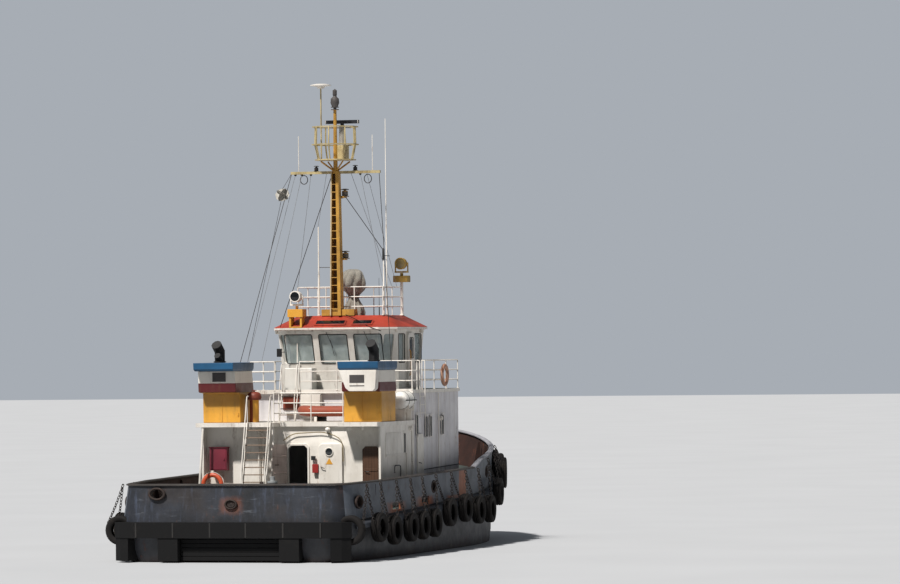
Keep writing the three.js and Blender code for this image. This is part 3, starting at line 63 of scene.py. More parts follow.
def srgb(code):
    """The linear colour of a hex code"""
    shares = [int(code[i:i + 2], 16) / 255 for i in (1, 3, 5)]
    return (*[s / 12.92 if s <= 0.04045 else ((s + 0.055) / 1.055) ** 2.4 for s in shares], 1.0)


def add(tree, kind, sockets=None, **settings):
    """Adds a shader node with its settings. A socket gets a value, or a link from another node's output"""
    made = tree.nodes.new("ShaderNode" + kind)
    for key, value in settings.items():
        setattr(made, key, value)
    for key, value in (sockets or {}).items():
        if isinstance(value, bpy.types.NodeSocket):
            tree.links.new(value, made.inputs[key])
        else:
            made.inputs[key].default_value = value
    return made


def only(*pieces):
    """Selects these objects and nothing else"""
    bpy.ops.object.select_all(action="DESELECT")
    for piece in pieces:
        piece.select_set(True)
    bpy.context.view_layer.objects.active = pieces[0]


def new_material(name):
    """A bare material, its node tree and the place on the object that its patterns follow"""
    material = bpy.data.materials.new(name)
    material.use_nodes = True
    tree = material.node_tree
    tree.nodes.clear()
    return material, tree, add(tree, "TexCoord").outputs["Object"]


def close_material(material, sockets):
    tree = material.node_tree
    shader = add(tree, "BsdfPrincipled", sockets)
    add(tree, "OutputMaterial", {"Surface": shader.outputs[0]})
    return material


def noise(tree, place, scale, detail=2.0, roughness=0.5, distortion=0.0):
    """Cloudy noise, with its scale in cycles for each metre"""
    sockets = {"Vector": place, "Scale": scale, "Detail": detail, "Roughness": roughness,
               "Distortion": distortion}
    return add(tree, "TexNoise", sockets).outputs[0]


def span(tree, value, low, high, start=0.0, end=1.0, clamp=True):
    """Maps the values from low to high onto start to end"""
    return add(tree, "MapRange", {0: value, 1: low, 2: high, 3: start, 4: end}, clamp=clamp).outputs[0]


def blend(tree, share, under, over):
    """Mixes two colours. Each is a hex code or a socket"""
    under, over = [srgb(colour) if isinstance(colour, str) else colour for colour in (under, over)]
    return add(tree, "Mix", {0: share, 6: under, 7: over}, data_type="RGBA").outputs[2]


# Floor: a wide plane of pale studio screed at the waterline, with a faint cloudiness in its colour. It
# belongs to the set and not to the tug. The backdrop is one even pale sky, and one lamp stands for the sun.
floor_material, tree, place = new_material("studio_floor")
screed = blend(tree, noise(tree, place, 0.15, 3.0), "#b4b6b9", "#bec0c3")
close_material(floor_material, {"Base Color": screed, "Roughness": 0.85})
bpy.ops.mesh.primitive_plane_add(size=900, location=(60, 0, 0))
floor = bpy.context.object
floor.name = "floor"
floor.data.materials.append(floor_material)

world = bpy.data.worlds.new("studio")
bpy.context.scene.world = world
world.use_nodes = True
SKY_LIGHT, SKY_SEEN = 0.26, 0.62      # the backdrop is seen paler than the light that it gives
sky = world.node_tree.nodes["Background"]
sky.inputs[0].default_value = srgb("#cfd6df")
rays = add(world.node_tree, "LightPath")
strength = add(world.node_tree, "MapRange", {0: rays.outputs["Is Camera Ray"], 3: SKY_LIGHT, 4: SKY_SEEN})
world.node_tree.links.new(strength.outputs[0], sky.inputs[1])

SUN_FROM = Vector((-1.0, 0.4, 1.5))
sun_data = bpy.data.lights.new("sun", "SUN")
sun_data.energy = 4.9
sun_data.angle = math.radians(4)
sun_data.color = (1.0, 0.965, 0.92)
sun = bpy.data.objects.new("sun", sun_data)
bpy.context.scene.collection.objects.link(sun)
sun.rotation_mode = "QUATERNION"
sun.rotation_quaternion = SUN_FROM.to_track_quat("Z", "Y")


# Hull: welded mild steel plate in worn dark paint, with scuffs, run-off streaks and rust at the waterline. It
# is the frame's own hull with its seams welded and its curves shaded smooth. The deck has green-grey paint.
BODY = "tug"


def weld(piece, angle):
    """Merges loose corners, joins flat triangles into whole faces and shades the curves smooth"""
    only(piece)
    bpy.ops.object.mode_set(mode="EDIT")
    bpy.ops.mesh.select_all(action="SELECT")
    bpy.ops.mesh.remove_doubles(threshold=0.0004)
    bpy.ops.mesh.dissolve_limited(angle_limit=math.radians(0.6))
    bpy.ops.object.mode_set(mode="OBJECT")
    bpy.ops.object.shade_smooth_by_angle(angle=math.radians(angle))


def ease(piece, width, segments=2):
    """Rounds a piece's sharp edges off"""
    only(piece)
    bevel = piece.modifiers.new("edges", "BEVEL")
    bevel.width = width
    bevel.segments = segments
    bevel.limit_method = "ANGLE"
    bevel.angle_limit = math.radians(35)
    bevel.harden_normals = True
    bpy.ops.object.modifier_apply(modifier=bevel.name)


def coat(piece, material):
    piece.data.materials.clear()
    piece.data.materials.append(material)
    return piece


def repaint(piece, material, wanted):
    """Gives the faces that a test picks one more material"""
    piece.data.materials.append(material)
    for face in piece.data.polygons:
        if wanted(face):
            face.material_index = len(piece.data.materials) - 1


def fit(piece, body, slot, *nodes):
    """Puts a finished piece's place into its mesh, fixes it to its body and lets it stand for CAD nodes"""
    only(piece)
    bpy.ops.object.transform_apply(location=True, rotation=True, scale=True)
    piece.data.name = piece.name
    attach(piece, body)
    if nodes:
        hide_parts(*nodes)
    return piece


def finish(piece, material, slot, *nodes, body=BODY):
    """Coats a piece and fits it"""
    return fit(coat(piece, material), body, slot, *nodes)


def dressed(node, material, body, slot, edge=0.0, segments=2, angle=32):
    """The frame's own piece, welded up, with its edges eased, in its real finish"""
    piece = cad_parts[node].copy()
    piece.data = piece.data.copy()
    for key in list(piece.keys()):
        del piece[key]
    piece.parent = None
    piece.name = node + "_finished"
    bpy.context.scene.collection.objects.link(piece)
    weld(piece, angle)
    if edge:
        ease(piece, edge, segments)
    return fit(coat(piece, material), body, slot, node)


def work(tree, operation, *values):
    """One step of arithmetic"""
    return add(tree, "Math", dict(enumerate(values)), operation=operation).outputs[0]


def drawn_out(tree, place, *scale):
    """The place scaled by its own amount on each axis"""
    return add(tree, "Mapping", {"Vector": place, "Scale": scale}).outputs[0]


def relief(tree, height, strength, depth_m):
    return add(tree, "Bump", {"Strength": strength, "Distance": depth_m, "Height": height}).outputs[0]


def marked(tree, place, tone, scale, grain, low, high, amount, code):
    """Lays a colour over a tone where a noise is high. Grain is the noise's scale, detail and roughness"""
    mark = noise(tree, drawn_out(tree, place, *scale), *grain)
    return blend(tree, span(tree, mark, low, high, 0.0, amount), tone, code)


def worn_paint(name, colour, shade, rust="#6d3a1e", rust_amount=0.3, grime="#4a463f", grime_amount=0.35,
               streak_m=0.12, gloss=0.42, patch_m=1.6, base=None, bump=0.25):
    """Ship's enamel, brushed and rolled on steel: faded in patches, with thin run-off streaks and rust"""
    material, tree, place = new_material(name)
    ramp = add(tree, "ValToRGB", {0: noise(tree, place, 1 / patch_m, 5.0, 0.62)})
    for stop, position, code in zip(ramp.color_ramp.elements, (0.32, 0.62), (shade, colour)):
        stop.position = position
        stop.color = srgb(code)
    ground = base(tree, place, ramp.outputs[0]) if base else ramp.outputs[0]
    streak = noise(tree, drawn_out(tree, place, 1 / streak_m, 1 / streak_m, 0.9), 1.0, 4.0, 0.7)
    soiled = blend(tree, span(tree, streak, 0.52, 0.8, 0.0, grime_amount), ground, grime)
    spots = noise(tree, place, 2.3, 8.0, 0.72)
    rusty = span(tree, work(tree, "MULTIPLY", spots, streak), 0.33, 0.42, 0.0, rust_amount)
    height = work(tree, "ADD", noise(tree, place, 5.0, 3.0), rusty)
    return close_material(material, {"Base Color": blend(tree, rusty, soiled, rust),
                                     "Roughness": span(tree, spots, 0.3, 0.7, gloss, gloss + 0.22),
                                     "Normal": relief(tree, height, bump, 0.01)})


RUST_LINE = 0.22      # top of the rusty band at the water, in metres


def hull_tones(tree, place, tone):
    """Rust and weed at the waterline, and scuffed metal along the shell"""
    height = add(tree, "SeparateXYZ", {0: place}).outputs[2]
    level = work(tree, "SUBTRACT", noise(tree, place, 0.8, 6.0, 0.7), height)
    wet = blend(tree, span(tree, level, 0.4 - RUST_LINE, 0.82 - RUST_LINE), tone, "#33231d")
    return marked(tree, place, wet, (0.5, 0.5, 7.0), (1.6, 7.0, 0.75), 0.63, 0.74, 0.4, "#6f757c")


hull_paint = worn_paint("worn_hull_enamel", "#32343a", "#1f2125", rust="#5a2f1c", rust_amount=0.45,
                        grime="#1c1b1c", grime_amount=0.5, streak_m=0.2, gloss=0.45, base=hull_tones,
                        bump=0.5)
deck_paint = worn_paint("grip_deck_paint", "#3f4a45", "#333a37", rust_amount=0.55, grime="#262523",
                        streak_m=0.8, gloss=0.75, patch_m=0.9, bump=0.7)
bottom_paint = worn_paint("bottom_paint", "#4a2320", "#33201f", rust_amount=0.4, gloss=0.7)

for node in ("hull_aft", "hull_mid", "hull_bow"):
    hull = dressed(node, hull_paint, BODY, "hull_paint")
    repaint(hull, deck_paint, lambda face: face.normal.z > 0.9 and face.center.z > 1)
dressed("skeg", bottom_paint, BODY, "bottom_paint", edge=0.03)
engine_paint = worn_paint("engine_enamel", "#5c6a63", "#4b5752", rust_amount=0.2)
dressed("engines", engine_paint, BODY, "bare_steel", edge=0.03)


# Bulwark: plate on the deck's edge, blue-grey outside and rusty brown inside, stiffened by triangular stays.
# Cast fairleads are welded into round and oval holes. Rust runs from the freeing ports and one old scrape.
def deck_edge(x):
    """Half the beam at the deck's edge"""
    if x > 0:
        return 4.4 * (1 - min(1.0, x / 12.05) ** 2) ** 0.6
    return 4.4 - 0.2 * min(1.0, max(0.0, (-8 - x) / 4.3)) ** 2


def sheer(x):
    return 1.4 + 0.034 * (x + 13.2) + 0.0035 * max(0.0, x) ** 2


def bulwark_top(x):
    if x < 1.9:
        return 2.63 + 0.014 * (x + 13.2)
    s = min(1.0, (x - 1.9) / 1.3)
    return 2.8414 + 0.32 * s * s * (3 - 2 * s) + 0.075 * max(0.0, x - 3.2) + 0.0105 * max(0.0, x - 8) ** 2


def outward(x, y=-1.0):
    """The level direction away from the ship at a place on the deck's edge"""
    side = 1 if y > 0 else -1
    if x < -12.25 or x > 12:
        corner = Vector((x + 12.3, y - side * min(3.3, abs(y)), 0)) if x < 0 else Vector((1, 0, 0))
        return corner.normalized()
    slope = (deck_edge(x + 0.01) - deck_edge(x - 0.01)) / 0.02
    return Vector((-slope, side, 0)).normalized()


def joined(name, *parts):
    only(*parts)
    bpy.ops.object.transform_apply(location=True, rotation=True, scale=True)
    if len(parts) > 1:
        bpy.ops.object.join()
    bpy.context.object.name = name
    return bpy.context.object


def closed_up(piece, smooth=40):
    """Merges doubles, turns every face outwards and shades the curves smooth"""
    only(piece)
    bpy.ops.object.mode_set(mode="EDIT")
    bpy.ops.mesh.select_all(action="SELECT")
    bpy.ops.mesh.remove_doubles(threshold=0.0001)
    bpy.ops.mesh.normals_make_consistent(inside=False)
    bpy.ops.object.mode_set(mode="OBJECT")
    bpy.ops.object.shade_smooth_by_angle(angle=math.radians(smooth))
    return piece


def copies(name, model, places):
    """Copies of a modelled piece, each with its own mesh, joined. The model is used up"""
    parts = []
    for place in places:
        twin = model.copy()
        twin.data = model.data.copy()
        twin.matrix_world = place @ model.matrix_world
        bpy.context.scene.collection.objects.link(twin)
        parts.append(twin)
    bpy.data.objects.remove(model)
    return joined(name, *parts)


def mirrored(piece, name):
    """The port side's piece from the starboard side's"""
    twin = piece.copy()
    twin.data = piece.data.copy()
    twin.name = name
    bpy.context.scene.collection.objects.link(twin)
    twin.scale = (1, -1, 1)
    only(twin)
    bpy.ops.object.transform_apply(location=False, rotation=False, scale=True)
    return closed_up(twin)


def drawn(name, points, cyclic=False, **settings):
    """A curve through points, made a mesh"""
    curve = bpy.data.curves.new(name, "CURVE")
    for key, value in settings.items():
        setattr(curve, key, value)
    for path in points:
        spline = curve.splines.new("POLY")
        spline.points.add(len(path) - 1)
        spline.use_cyclic_u = cyclic
        for point, place in zip(spline.points, path):
            point.co = (*place, 1) if len(place) == 3 else (*place, 0, 1)
    piece = bpy.data.objects.new(name, curve)
    bpy.context.scene.collection.objects.link(piece)
    only(piece)
    bpy.ops.object.convert(target="MESH")
    return closed_up(bpy.context.object, 50)


def cut_plate(name, outline, thick, edge=0.0):
    """Plate cut to an outline in its own XY plane, centred on its thickness"""
    piece = drawn(name, [outline], True, dimensions="2D", fill_mode="BOTH", extrude=thick / 2)
    if edge:
        ease(piece, edge, 1)
    return piece


BULWARK_RUST = [((0.0, 2.35), (0.52, 0.75), 1.0, 0.2), ((-8.1, 1.6), (1.15, 0.36), 0.9, 0.5),
                ((-4.75, 1.72), (1.2, 0.34), 0.9, 0.5), ((-1.2, 1.84), (1.0, 0.14), 0.7, 0.5),
                ((-13.2, 1.95), (0.3, 0.36), 0.35, 0.6)]      # centre (x, z), half sizes, strength, soft edge
TRANSOM_X = -13.0      # rust patches aft of here are on the stern, and are bounded across the ship too


def reaches_off(tree, value, middle, reach):
    """How far a value is from the middle, counted in reaches"""
    return work(tree, "ABSOLUTE", span(tree, value, middle - reach, middle + reach, -1.0, 1.0, clamp=False))


def bulwark_tones(tree, place, tone):
    """Ragged rust at the freeing ports, the stern fairlead and one scrape, and scuffed metal"""
    split = add(tree, "SeparateXYZ", {0: place}).outputs
    ragged = noise(tree, place, 3.5, 7.0, 0.75)
    rusty = blend(tree, ragged, "#633722", "#ad6233")
    for (x, z), (wide, high), strength, soft in BULWARK_RUST:
        far = work(tree, "MAXIMUM", reaches_off(tree, split[0], x, wide),
                   reaches_off(tree, split[2], z, high))
        amount = span(tree, work(tree, "ADD", far, ragged), 1.5 - soft, 1.5, strength, 0.0)
        if x < TRANSOM_X:
            side = work(tree, "ADD", reaches_off(tree, split[1], 0, 0.5), ragged)
            amount = work(tree, "MULTIPLY", amount, span(tree, side, 1.0, 1.5, 1.0, 0.0))
        tone = blend(tree, amount, tone, rusty)
    return marked(tree, place, tone, (0.6, 0.6, 5.0), (1.6, 7.0, 0.75), 0.6, 0.74, 0.5, "#7b828c")


def stern_tones(tree, place, tone):
    """As the sides, with upright streaks of painted bluish sheen, bright scratches from chafing lines, and
    brown patches
    """
    tone = bulwark_tones(tree, place, tone)
    # Painted sheen: bluish upright streaks that lighten the dark plate as a reflection would
    tone = marked(tree, place, tone, (3.0, 3.4, 0.45), (1.5, 6.0, 0.7), 0.55, 0.72, 0.42, "#566178")
    tone = marked(tree, place, tone, (1.0, 0.9, 14.0), (1.3, 8.0, 0.8), 0.66, 0.74, 0.7, "#a9abb0")
    return marked(tree, place, tone, (1, 1, 1), (0.7, 4.0, 0.5), 0.5, 0.66, 0.6, "#2c2522")


bulwark_paint = worn_paint("worn_bulwark_enamel", "#616770", "#444a53", rust="#66402c", rust_amount=0.35,
                           grime="#2b2d33", grime_amount=0.55, streak_m=0.16, gloss=0.4, patch_m=1.2,
                           base=bulwark_tones, bump=0.5)
stern_paint = worn_paint("worn_stern_enamel_with_painted_sheen", "#282c35", "#15171c", rust="#5b3425", rust_amount=0.5,
                         grime="#15161b", grime_amount=0.6, streak_m=0.16, gloss=0.4, patch_m=1.0,
                         base=stern_tones, bump=0.5)
inside_paint = worn_paint("rusty_bulwark_inside", "#361d16", "#1f100c", rust="#8a4a28", rust_amount=0.8,
                          grime="#251a17", streak_m=0.16, gloss=0.7, patch_m=0.8, bump=0.6)
rusty_steel = worn_paint("rusted_cast_steel", "#33251f", "#1d1613", rust="#6f4029", rust_amount=0.7,
                         grime="#1d1815", streak_m=0.09, gloss=0.65, patch_m=0.3, bump=0.9)
bulwark = dressed("bulwark", bulwark_paint, BODY, "hull_paint", edge=0.006)
repaint(bulwark, inside_paint, lambda face: face.normal.dot(outward(face.center.x, face.center.y)) < -0.2)
repaint(bulwark, stern_paint, lambda face: face.normal.x < -0.5 and face.center.x < -12.8)

STAY_PITCH = 1.35
stays = []
x = -11.6
while x < 10.8:
    low, high = sheer(x), bulwark_top(x) - 0.07
    if min(abs(x + 8.1), abs(x + 4.7)) > 0.6 and min(abs(x + 11.9), abs(x + 3.65), abs(x - 4.2)) > 0.42:
        stay = cut_plate("stay", [(0, 0), (0.32, 0), (0.08, high - low), (0, high - low)], 0.02)
        across = -outward(x)
        stay.matrix_world = (Matrix.Translation(Vector((x, -deck_edge(x), low)) + across * 0.045)
                             @ Matrix.Rotation(math.atan2(across.y, across.x), 4, "Z")
                             @ Matrix.Rotation(math.pi / 2, 4, "X"))
        stays.append(stay)
    x += STAY_PITCH
stays = joined("bulwark_stays_starboard", *stays)
for piece in (stays, mirrored(stays, "bulwark_stays_port")):
    finish(piece, inside_paint, "hull_paint")


def spun(name, outline, steps=28, smooth=40):
    """A ring spun about Z from a closed outline of (radius, height)"""
    ring = drawn(name, [[(radius, 0, height) for radius, height in outline]], True, dimensions="3D")
    bpy.ops.object.mode_set(mode="EDIT")
    bpy.ops.mesh.select_all(action="SELECT")
    bpy.ops.mesh.spin(steps=steps, angle=2 * math.pi, center=(0, 0, 0), axis=(0, 0, 1))
    bpy.ops.object.mode_set(mode="OBJECT")
    return closed_up(ring, smooth)


def facing(place, axis):
    """The matrix that puts a piece at a place with its own Z along an axis"""
    return Matrix.Translation(place) @ Vector(axis).to_track_quat("Z", "Y").to_matrix().to_4x4()


def turned(name, rings, place=(0, 0, 0), axis=(0, 0, 1), sides=20, smooth=40):
    """A round solid: a disc extruded and resized through rings of (radius, height), then put in place"""
    (radius, height), *rest = rings
    bpy.ops.mesh.primitive_circle_add(vertices=sides, radius=radius, fill_type="NGON",
                                      location=(0, 0, height))
    piece = bpy.context.object
    piece.name = name
    only(piece)
    bpy.ops.object.transform_apply(location=True)
    bpy.ops.object.mode_set(mode="EDIT")
    bpy.ops.mesh.select_all(action="SELECT")
    for wide, high in rest:
        bpy.ops.mesh.extrude_region_move(TRANSFORM_OT_translate={"value": (0, 0, high - height)})
        share = wide / radius
        bpy.ops.transform.resize(value=(share, share, 1), center_override=(0, 0, high))
        radius, height = wide, high
    bpy.ops.object.mode_set(mode="OBJECT")
    piece.matrix_world = facing(place, axis)
    bpy.ops.object.transform_apply(location=True, rotation=True, scale=True)
    return closed_up(piece, smooth)


def fairlead(place, normal, wide, high, plugged=False):
    """A cast rim round a hole in the plate, with a short sleeve inboard. A boss blanks it off"""
    at = facing(place, normal) @ Matrix.Diagonal((wide, high, 0.25, 1))
    bpy.ops.mesh.primitive_torus_add(major_radius=1, minor_radius=0.2, major_segments=28, minor_segments=10)
    parts = [bpy.context.object, spun("sleeve", [(0.86, 0.1), (0.99, 0.1), (0.99, -0.95), (0.86, -0.95)], 28)]
    if plugged:
        parts.append(turned("boss", [(0.9, -0.4), (0.9, -0.1), (0.62, 0.02), (0.5, -0.05), (0.2, -0.02)],
                            sides=24))
    for part in parts:
        part.matrix_world = at
    return joined("fairlead", *parts)


rims = [fairlead((-13.18, 2.7, 2.36), (-1, 0, 0), 0.27, 0.19),
        fairlead((-13.19, 0.0, 2.0), (-1, 0, 0), 0.2, 0.15, True)]
for x in (-11.9, -3.65, 4.2):
    for side in (1, -1):
        normal = outward(x, side)
        rims.append(fairlead(Vector((x, side * deck_edge(x), sheer(x) + 0.6)) - normal * 0.02, normal, 0.28,
                             0.2))
finish(closed_up(joined("fairlead_rims", *rims), 50), rusty_steel, "hull_paint")


# Cap rail: flat steel bar welded along the bulwark's top. It is rubbed dark aft, where the lines chafe it,
# and painted light grey forward of the knee, with rust along both.
cap_dark = worn_paint("rubbed_cap_rail", "#3a3532", "#272321", rust="#6a3f28", rust_amount=0.7,
                      grime="#171514", streak_m=0.3, gloss=0.5, patch_m=0.7, bump=0.6)
cap_light = worn_paint("grey_cap_rail", "#9a9aa0", "#7f8086", rust="#6a3f28", rust_amount=0.5,
                       grime="#4a4a4c", streak_m=0.3, gloss=0.45, patch_m=0.9)
cap_rail = dressed("bulwark_rail", cap_dark, BODY, "hull_paint", edge=0.012)
repaint(cap_rail, cap_light, lambda face: face.center.x > 2.2)


# Stern fender: moulded black rubber blocks bolted round the transom, with two legs down to the water.
# Steel keeper bars hold the blocks at their joints, and rubbing planks stand between the legs.
GRAIN_MM = 9      # grain of old rubber, drawn coarse enough to show


def rubber(name, colour, shade, dust="#4c4742", dust_amount=0.35):
    """Moulded rubber, weathered to a dull grey-black, with dust in patches and a fine grain"""
    material, tree, place = new_material(name)
    wear = noise(tree, place, 2.2, 6.0, 0.7)
    dusty = span(tree, wear, 0.55, 0.72, 0.0, dust_amount)
    grain = noise(tree, place, 333 / GRAIN_MM, 4.0)
    return close_material(material, {"Base Color": blend(tree, dusty, blend(tree, wear, shade, colour), dust),
                                     "Roughness": span(tree, wear, 0.3, 0.7, 0.7, 0.9),
                                     "Normal": relief(tree, grain, 0.5, 0.006), "Specular IOR Level": 0.2})


def boxes(name, rows, edge=0.006, segments=2):
    """Plates and blocks with eased edges, joined. A row is x0, x1, y0, y1, z0, z1"""
    parts = []
    for x0, x1, y0, y1, z0, z1 in rows:
        bpy.ops.mesh.primitive_cube_add(size=1, location=((x0 + x1) / 2, (y0 + y1) / 2, (z0 + z1) / 2),
                                        scale=(abs(x1 - x0), abs(y1 - y0), abs(z1 - z0)))
        parts.append(bpy.context.object)
    piece = joined(name, *parts)
    ease(piece, edge, segments)
    bpy.ops.object.shade_smooth_by_angle(angle=math.radians(32))
    return piece


block_rubber = rubber("weathered_block_rubber", "#161617", "#0c0c0d", dust="#2b2927", dust_amount=0.3)
dressed("stern_fender", block_rubber, BODY, "fender_rubber", edge=0.03, segments=3)
keeper_steel = worn_paint("oiled_keeper_steel", "#1d1b1a", "#121111", rust="#4a2e20", rust_amount=0.5,
                          gloss=0.6)
keepers = [(-13.562, -13.54, y - 0.03, y + 0.03, 0.87, 1.37) for y in (-3.35, -2.0, -0.65, 0.65, 2.0, 3.35)]
finish(boxes("fender_keeper_bars", keepers, 0.004), keeper_steel, "fender_rubber")
planks = [(-13.245, -13.12, -1.82, 1.82, z, z + 0.138) for z in (0.07, 0.22, 0.37, 0.52, 0.67)]
finish(boxes("transom_rub_planks", planks, 0.012), block_rubber, "fender_rubber")


# Side fenders: old truck tyres on short chains, hung from the cap rail against a steel rubbing strake. A tyre
# is one moulding with ribs round its tread. Two chains of forged links part from one head midway between
# neighbouring tyres, and each grips the tread of one of them.
TYRES = [(-12.34, 1.1), (-11.2, 1.15), (-9.75, 1.0), (-7.9, 1.03), (-6.5, 1.05), (-5.05, 1.08), (-3.15, 1.39),
         (-1.2, 1.48), (0.5, 1.35), (2.25, 1.33), (4.2, 1.9), (6.0, 2.48), (7.5, 2.6), (8.8, 2.72),
         (9.9, 2.83)]
PROUD = 0.45
tyre_rubber = rubber("weathered_tyre_rubber", "#211e1d", "#121111", dust="#403931", dust_amount=0.45)
half_outline = [(0.302, 0.06), (0.292, 0.105), (0.31, 0.128), (0.36, 0.15), (0.425, 0.163), (0.475, 0.15),
                (0.503, 0.118), (0.512, 0.085), (0.488, 0.08), (0.488, 0.066), (0.515, 0.06), (0.517, 0.022),
                (0.492, 0.016)]
wall_inside = [(0.45, 0.06), (0.38, 0.08)]
tyre_outline = [(r, -h) for r, h in half_outline] + half_outline[::-1]
tyre_outline += wall_inside[::-1] + [(r, -h) for r, h in wall_inside]
tyre = spun("tyre", tyre_outline, 30)
hangs = [(Vector((x, -deck_edge(x), height)) + outward(x) * PROUD, outward(x)) for x, height in TYRES]
tyre_places = [facing(centre, normal) @ Matrix.Rotation(0.7 * i, 4, "Z")
               for i, (centre, normal) in enumerate(hangs)]
tyres = copies("side_tyres_starboard", tyre, tyre_places)

LINK_PITCH = 0.108
bpy.ops.mesh.primitive_torus_add(major_radius=0.045, minor_radius=0.014, major_segments=8, minor_segments=4)
link = bpy.context.object
link.scale = (1.55, 1, 1)
only(link)
bpy.ops.object.transform_apply(scale=True)
link_places = []
CHAIN_GRIP = (0.44, 0.29)      # where a chain grips a tyre's tread, ahead of its centre and above it
for k in range(len(TYRES) - 1):
    middle = (TYRES[k][0] + TYRES[k + 1][0]) / 2
    away = outward(middle)
    head = Vector((middle, -deck_edge(middle), bulwark_top(middle) - 0.05)) + away * 0.22
    for (centre, normal), ahead in ((hangs[k], 1), (hangs[k + 1], -1)):
        along = Vector((-normal.y, normal.x, 0)) * ahead
        grip = centre + along * CHAIN_GRIP[0] + Vector((0, 0, CHAIN_GRIP[1])) - normal * 0.04
        count = max(3, round((head - grip).length / LINK_PITCH))
        way = (grip - head).to_track_quat("X", "Z").to_matrix().to_4x4()
        for i in range(count + 1):
            spot = head.lerp(grip, i / count) - Vector((0, 0, 0.05 * math.sin(math.pi * i / count)))
            link_places.append(Matrix.Translation(spot) @ way
                               @ Matrix.Rotation(math.pi / 2 * (i % 2), 4, "X"))
chains = closed_up(copies("side_chains_starboard", link, link_places), 60)

strake_x = [-12.25 + 0.5 * i for i in range(25)]
strake_x += [12.05 * math.sin(math.pi / 2 * i / 26) for i in range(1, 26)]
strake_path = [(x, -deck_edge(x), sheer(x) - 0.31) for x in strake_x]
strake_section = [(-0.15, 0), (0.16, 0), (0.29, 0.03), (0.32, 0.08), (0.32, 0.17), (0.29, 0.22), (0.16, 0.25),
                  (-0.15, 0.25)]


def swept(name, path, section):
    """A bar run along a path, with its section's X to the right of the path and its Y upwards"""
    profile = bpy.data.curves.new(name + "_section", "CURVE")
    profile.dimensions = "2D"
    spline = profile.splines.new("POLY")
    spline.points.add(len(section) - 1)
    spline.use_cyclic_u = True
    for point, place in zip(spline.points, section):
        point.co = (*place, 0, 1)
    holder = bpy.data.objects.new(name + "_section", profile)
    bpy.context.scene.collection.objects.link(holder)
    bar = drawn(name, [path], dimensions="3D", twist_mode="Z_UP", bevel_mode="OBJECT", bevel_object=holder,
                use_fill_caps=True)
    bpy.data.objects.remove(holder)
    return bar


strake = swept("rubbing_strake_starboard", strake_path, strake_section)
strake_paint = worn_paint("scraped_strake", "#3b3f47", "#2a2d33", rust="#6a4029", rust_amount=0.7,
                          grime="#1b1b1d", streak_m=0.3, gloss=0.5, patch_m=0.8, bump=0.8)
chain_steel = worn_paint("blackened_chain_steel", "#2e2724", "#1c1918", rust="#5b3826", rust_amount=0.6,
                         grime="#141211", streak_m=0.06, gloss=0.6, patch_m=0.3)
starboard_side = (tyres, chains, strake)
port_side = [mirrored(piece, piece.name.replace("starboard", "port")) for piece in starboard_side]
for side, pieces in (("starboard", starboard_side), ("port", port_side)):
    for piece, paint in zip(pieces, (tyre_rubber, chain_steel, strake_paint)):
        finish(piece, paint, "fender_rubber", "tyre_fender_" + side)


# Aft house: white steel casing under the boat deck's wings, with a dark red cabinet, a life ring, small
# boxes, lamps under the overhang and a hose clipped over its doors. White pipe posts hold the port wing up.
white_paint = worn_paint("weathered_white_enamel", "#eae5dd", "#d5cec4", rust="#7d4a2c", rust_amount=0.5,
                         grime="#8d857a", grime_amount=0.4, streak_m=0.22, gloss=0.4, patch_m=1.1)
maroon_paint = worn_paint("maroon_enamel", "#7c2939", "#61202e", rust_amount=0.4, grime="#3c1a20", gloss=0.35)
brown_paint = worn_paint("red_brown_enamel", "#8a3f2b", "#6e3022", rust_amount=0.5, grime="#38221b",
                         gloss=0.45)
dark_paint = worn_paint("black_fitting_enamel", "#1d1d1f", "#141416", rust_amount=0.3, grime="#3b3937",
                        gloss=0.4)
yellow_paint = worn_paint("ochre_enamel", "#dfa23a", "#cb8e29", rust="#80502a", rust_amount=0.35,
                          grime="#8a6a35", grime_amount=0.4, streak_m=0.25, gloss=0.36, patch_m=1.4)
orange_plastic = worn_paint("moulded_orange_plastic", "#cf5a38", "#b04628", rust_amount=0.0, grime="#7a4a38",
                            gloss=0.35, patch_m=0.3)


def tubes(name, paths, radius, sides=2, cyclic=False):
    """Round bars or pipes along paths, with closed ends, as one piece"""
    return drawn(name, paths, cyclic, dimensions="3D", bevel_depth=radius, bevel_resolution=sides,
                 use_fill_caps=not cyclic)


def bent(path, radius, steps=4):
    """A path with its corners rounded off"""
    points = [Vector(p) for p in path]
    way = [points[0]]
    for a, b, c in zip(points, points[1:], points[2:]):
        cut = min(radius, (a - b).length * 0.45, (c - b).length * 0.45)
        start, end = b + (a - b).normalized() * cut, b + (c - b).normalized() * cut
        for i in range(steps + 1):
            t = i / steps
            way.append(start * (1 - t) ** 2 + b * 2 * t * (1 - t) + end * t ** 2)
    return way + [points[-1]]


dressed("aft_house", white_paint, BODY, "white_paint", edge=0.008)
AFT_WALL = -6.36      # outside of the house's aft wall
SIDE_DECK = 1.62      # foot of what stands under the overhang
wing_posts = tubes("wing_posts", [[(-7.08, 3.14, 4.57), (-7.3, 3.28, SIDE_DECK)],
                                  [(-7.05, 0.52, 4.57), (-7.05, 0.52, SIDE_DECK)]], 0.045)
finish(wing_posts, white_paint, "white_paint")
cabinet = boxes("hose_cabinet", [(-6.62, -6.37, 2.42, 3.07, 3.0, 3.8), (-6.65, -6.37, 2.39, 3.1, 3.8, 3.84),
                                 (-6.634, -6.6, 2.45, 3.04, 3.03, 3.77),
                                 (-6.66, -6.63, 2.5, 2.54, 3.36, 3.44)], 0.008)
finish(cabinet, maroon_paint, "red_paint")
switch_boxes = boxes("switch_boxes", [(-6.52, AFT_WALL, 0.3, 0.55, 2.54, 2.87),
                                      (-6.45, AFT_WALL, -0.96, -0.73, 2.9, 3.21)], 0.012)
signal_red = worn_paint("signal_red_enamel", "#a02b28", "#7e201e", rust_amount=0.3, grime="#3a1512",
                        gloss=0.35)
finish(switch_boxes, signal_red, "red_paint")
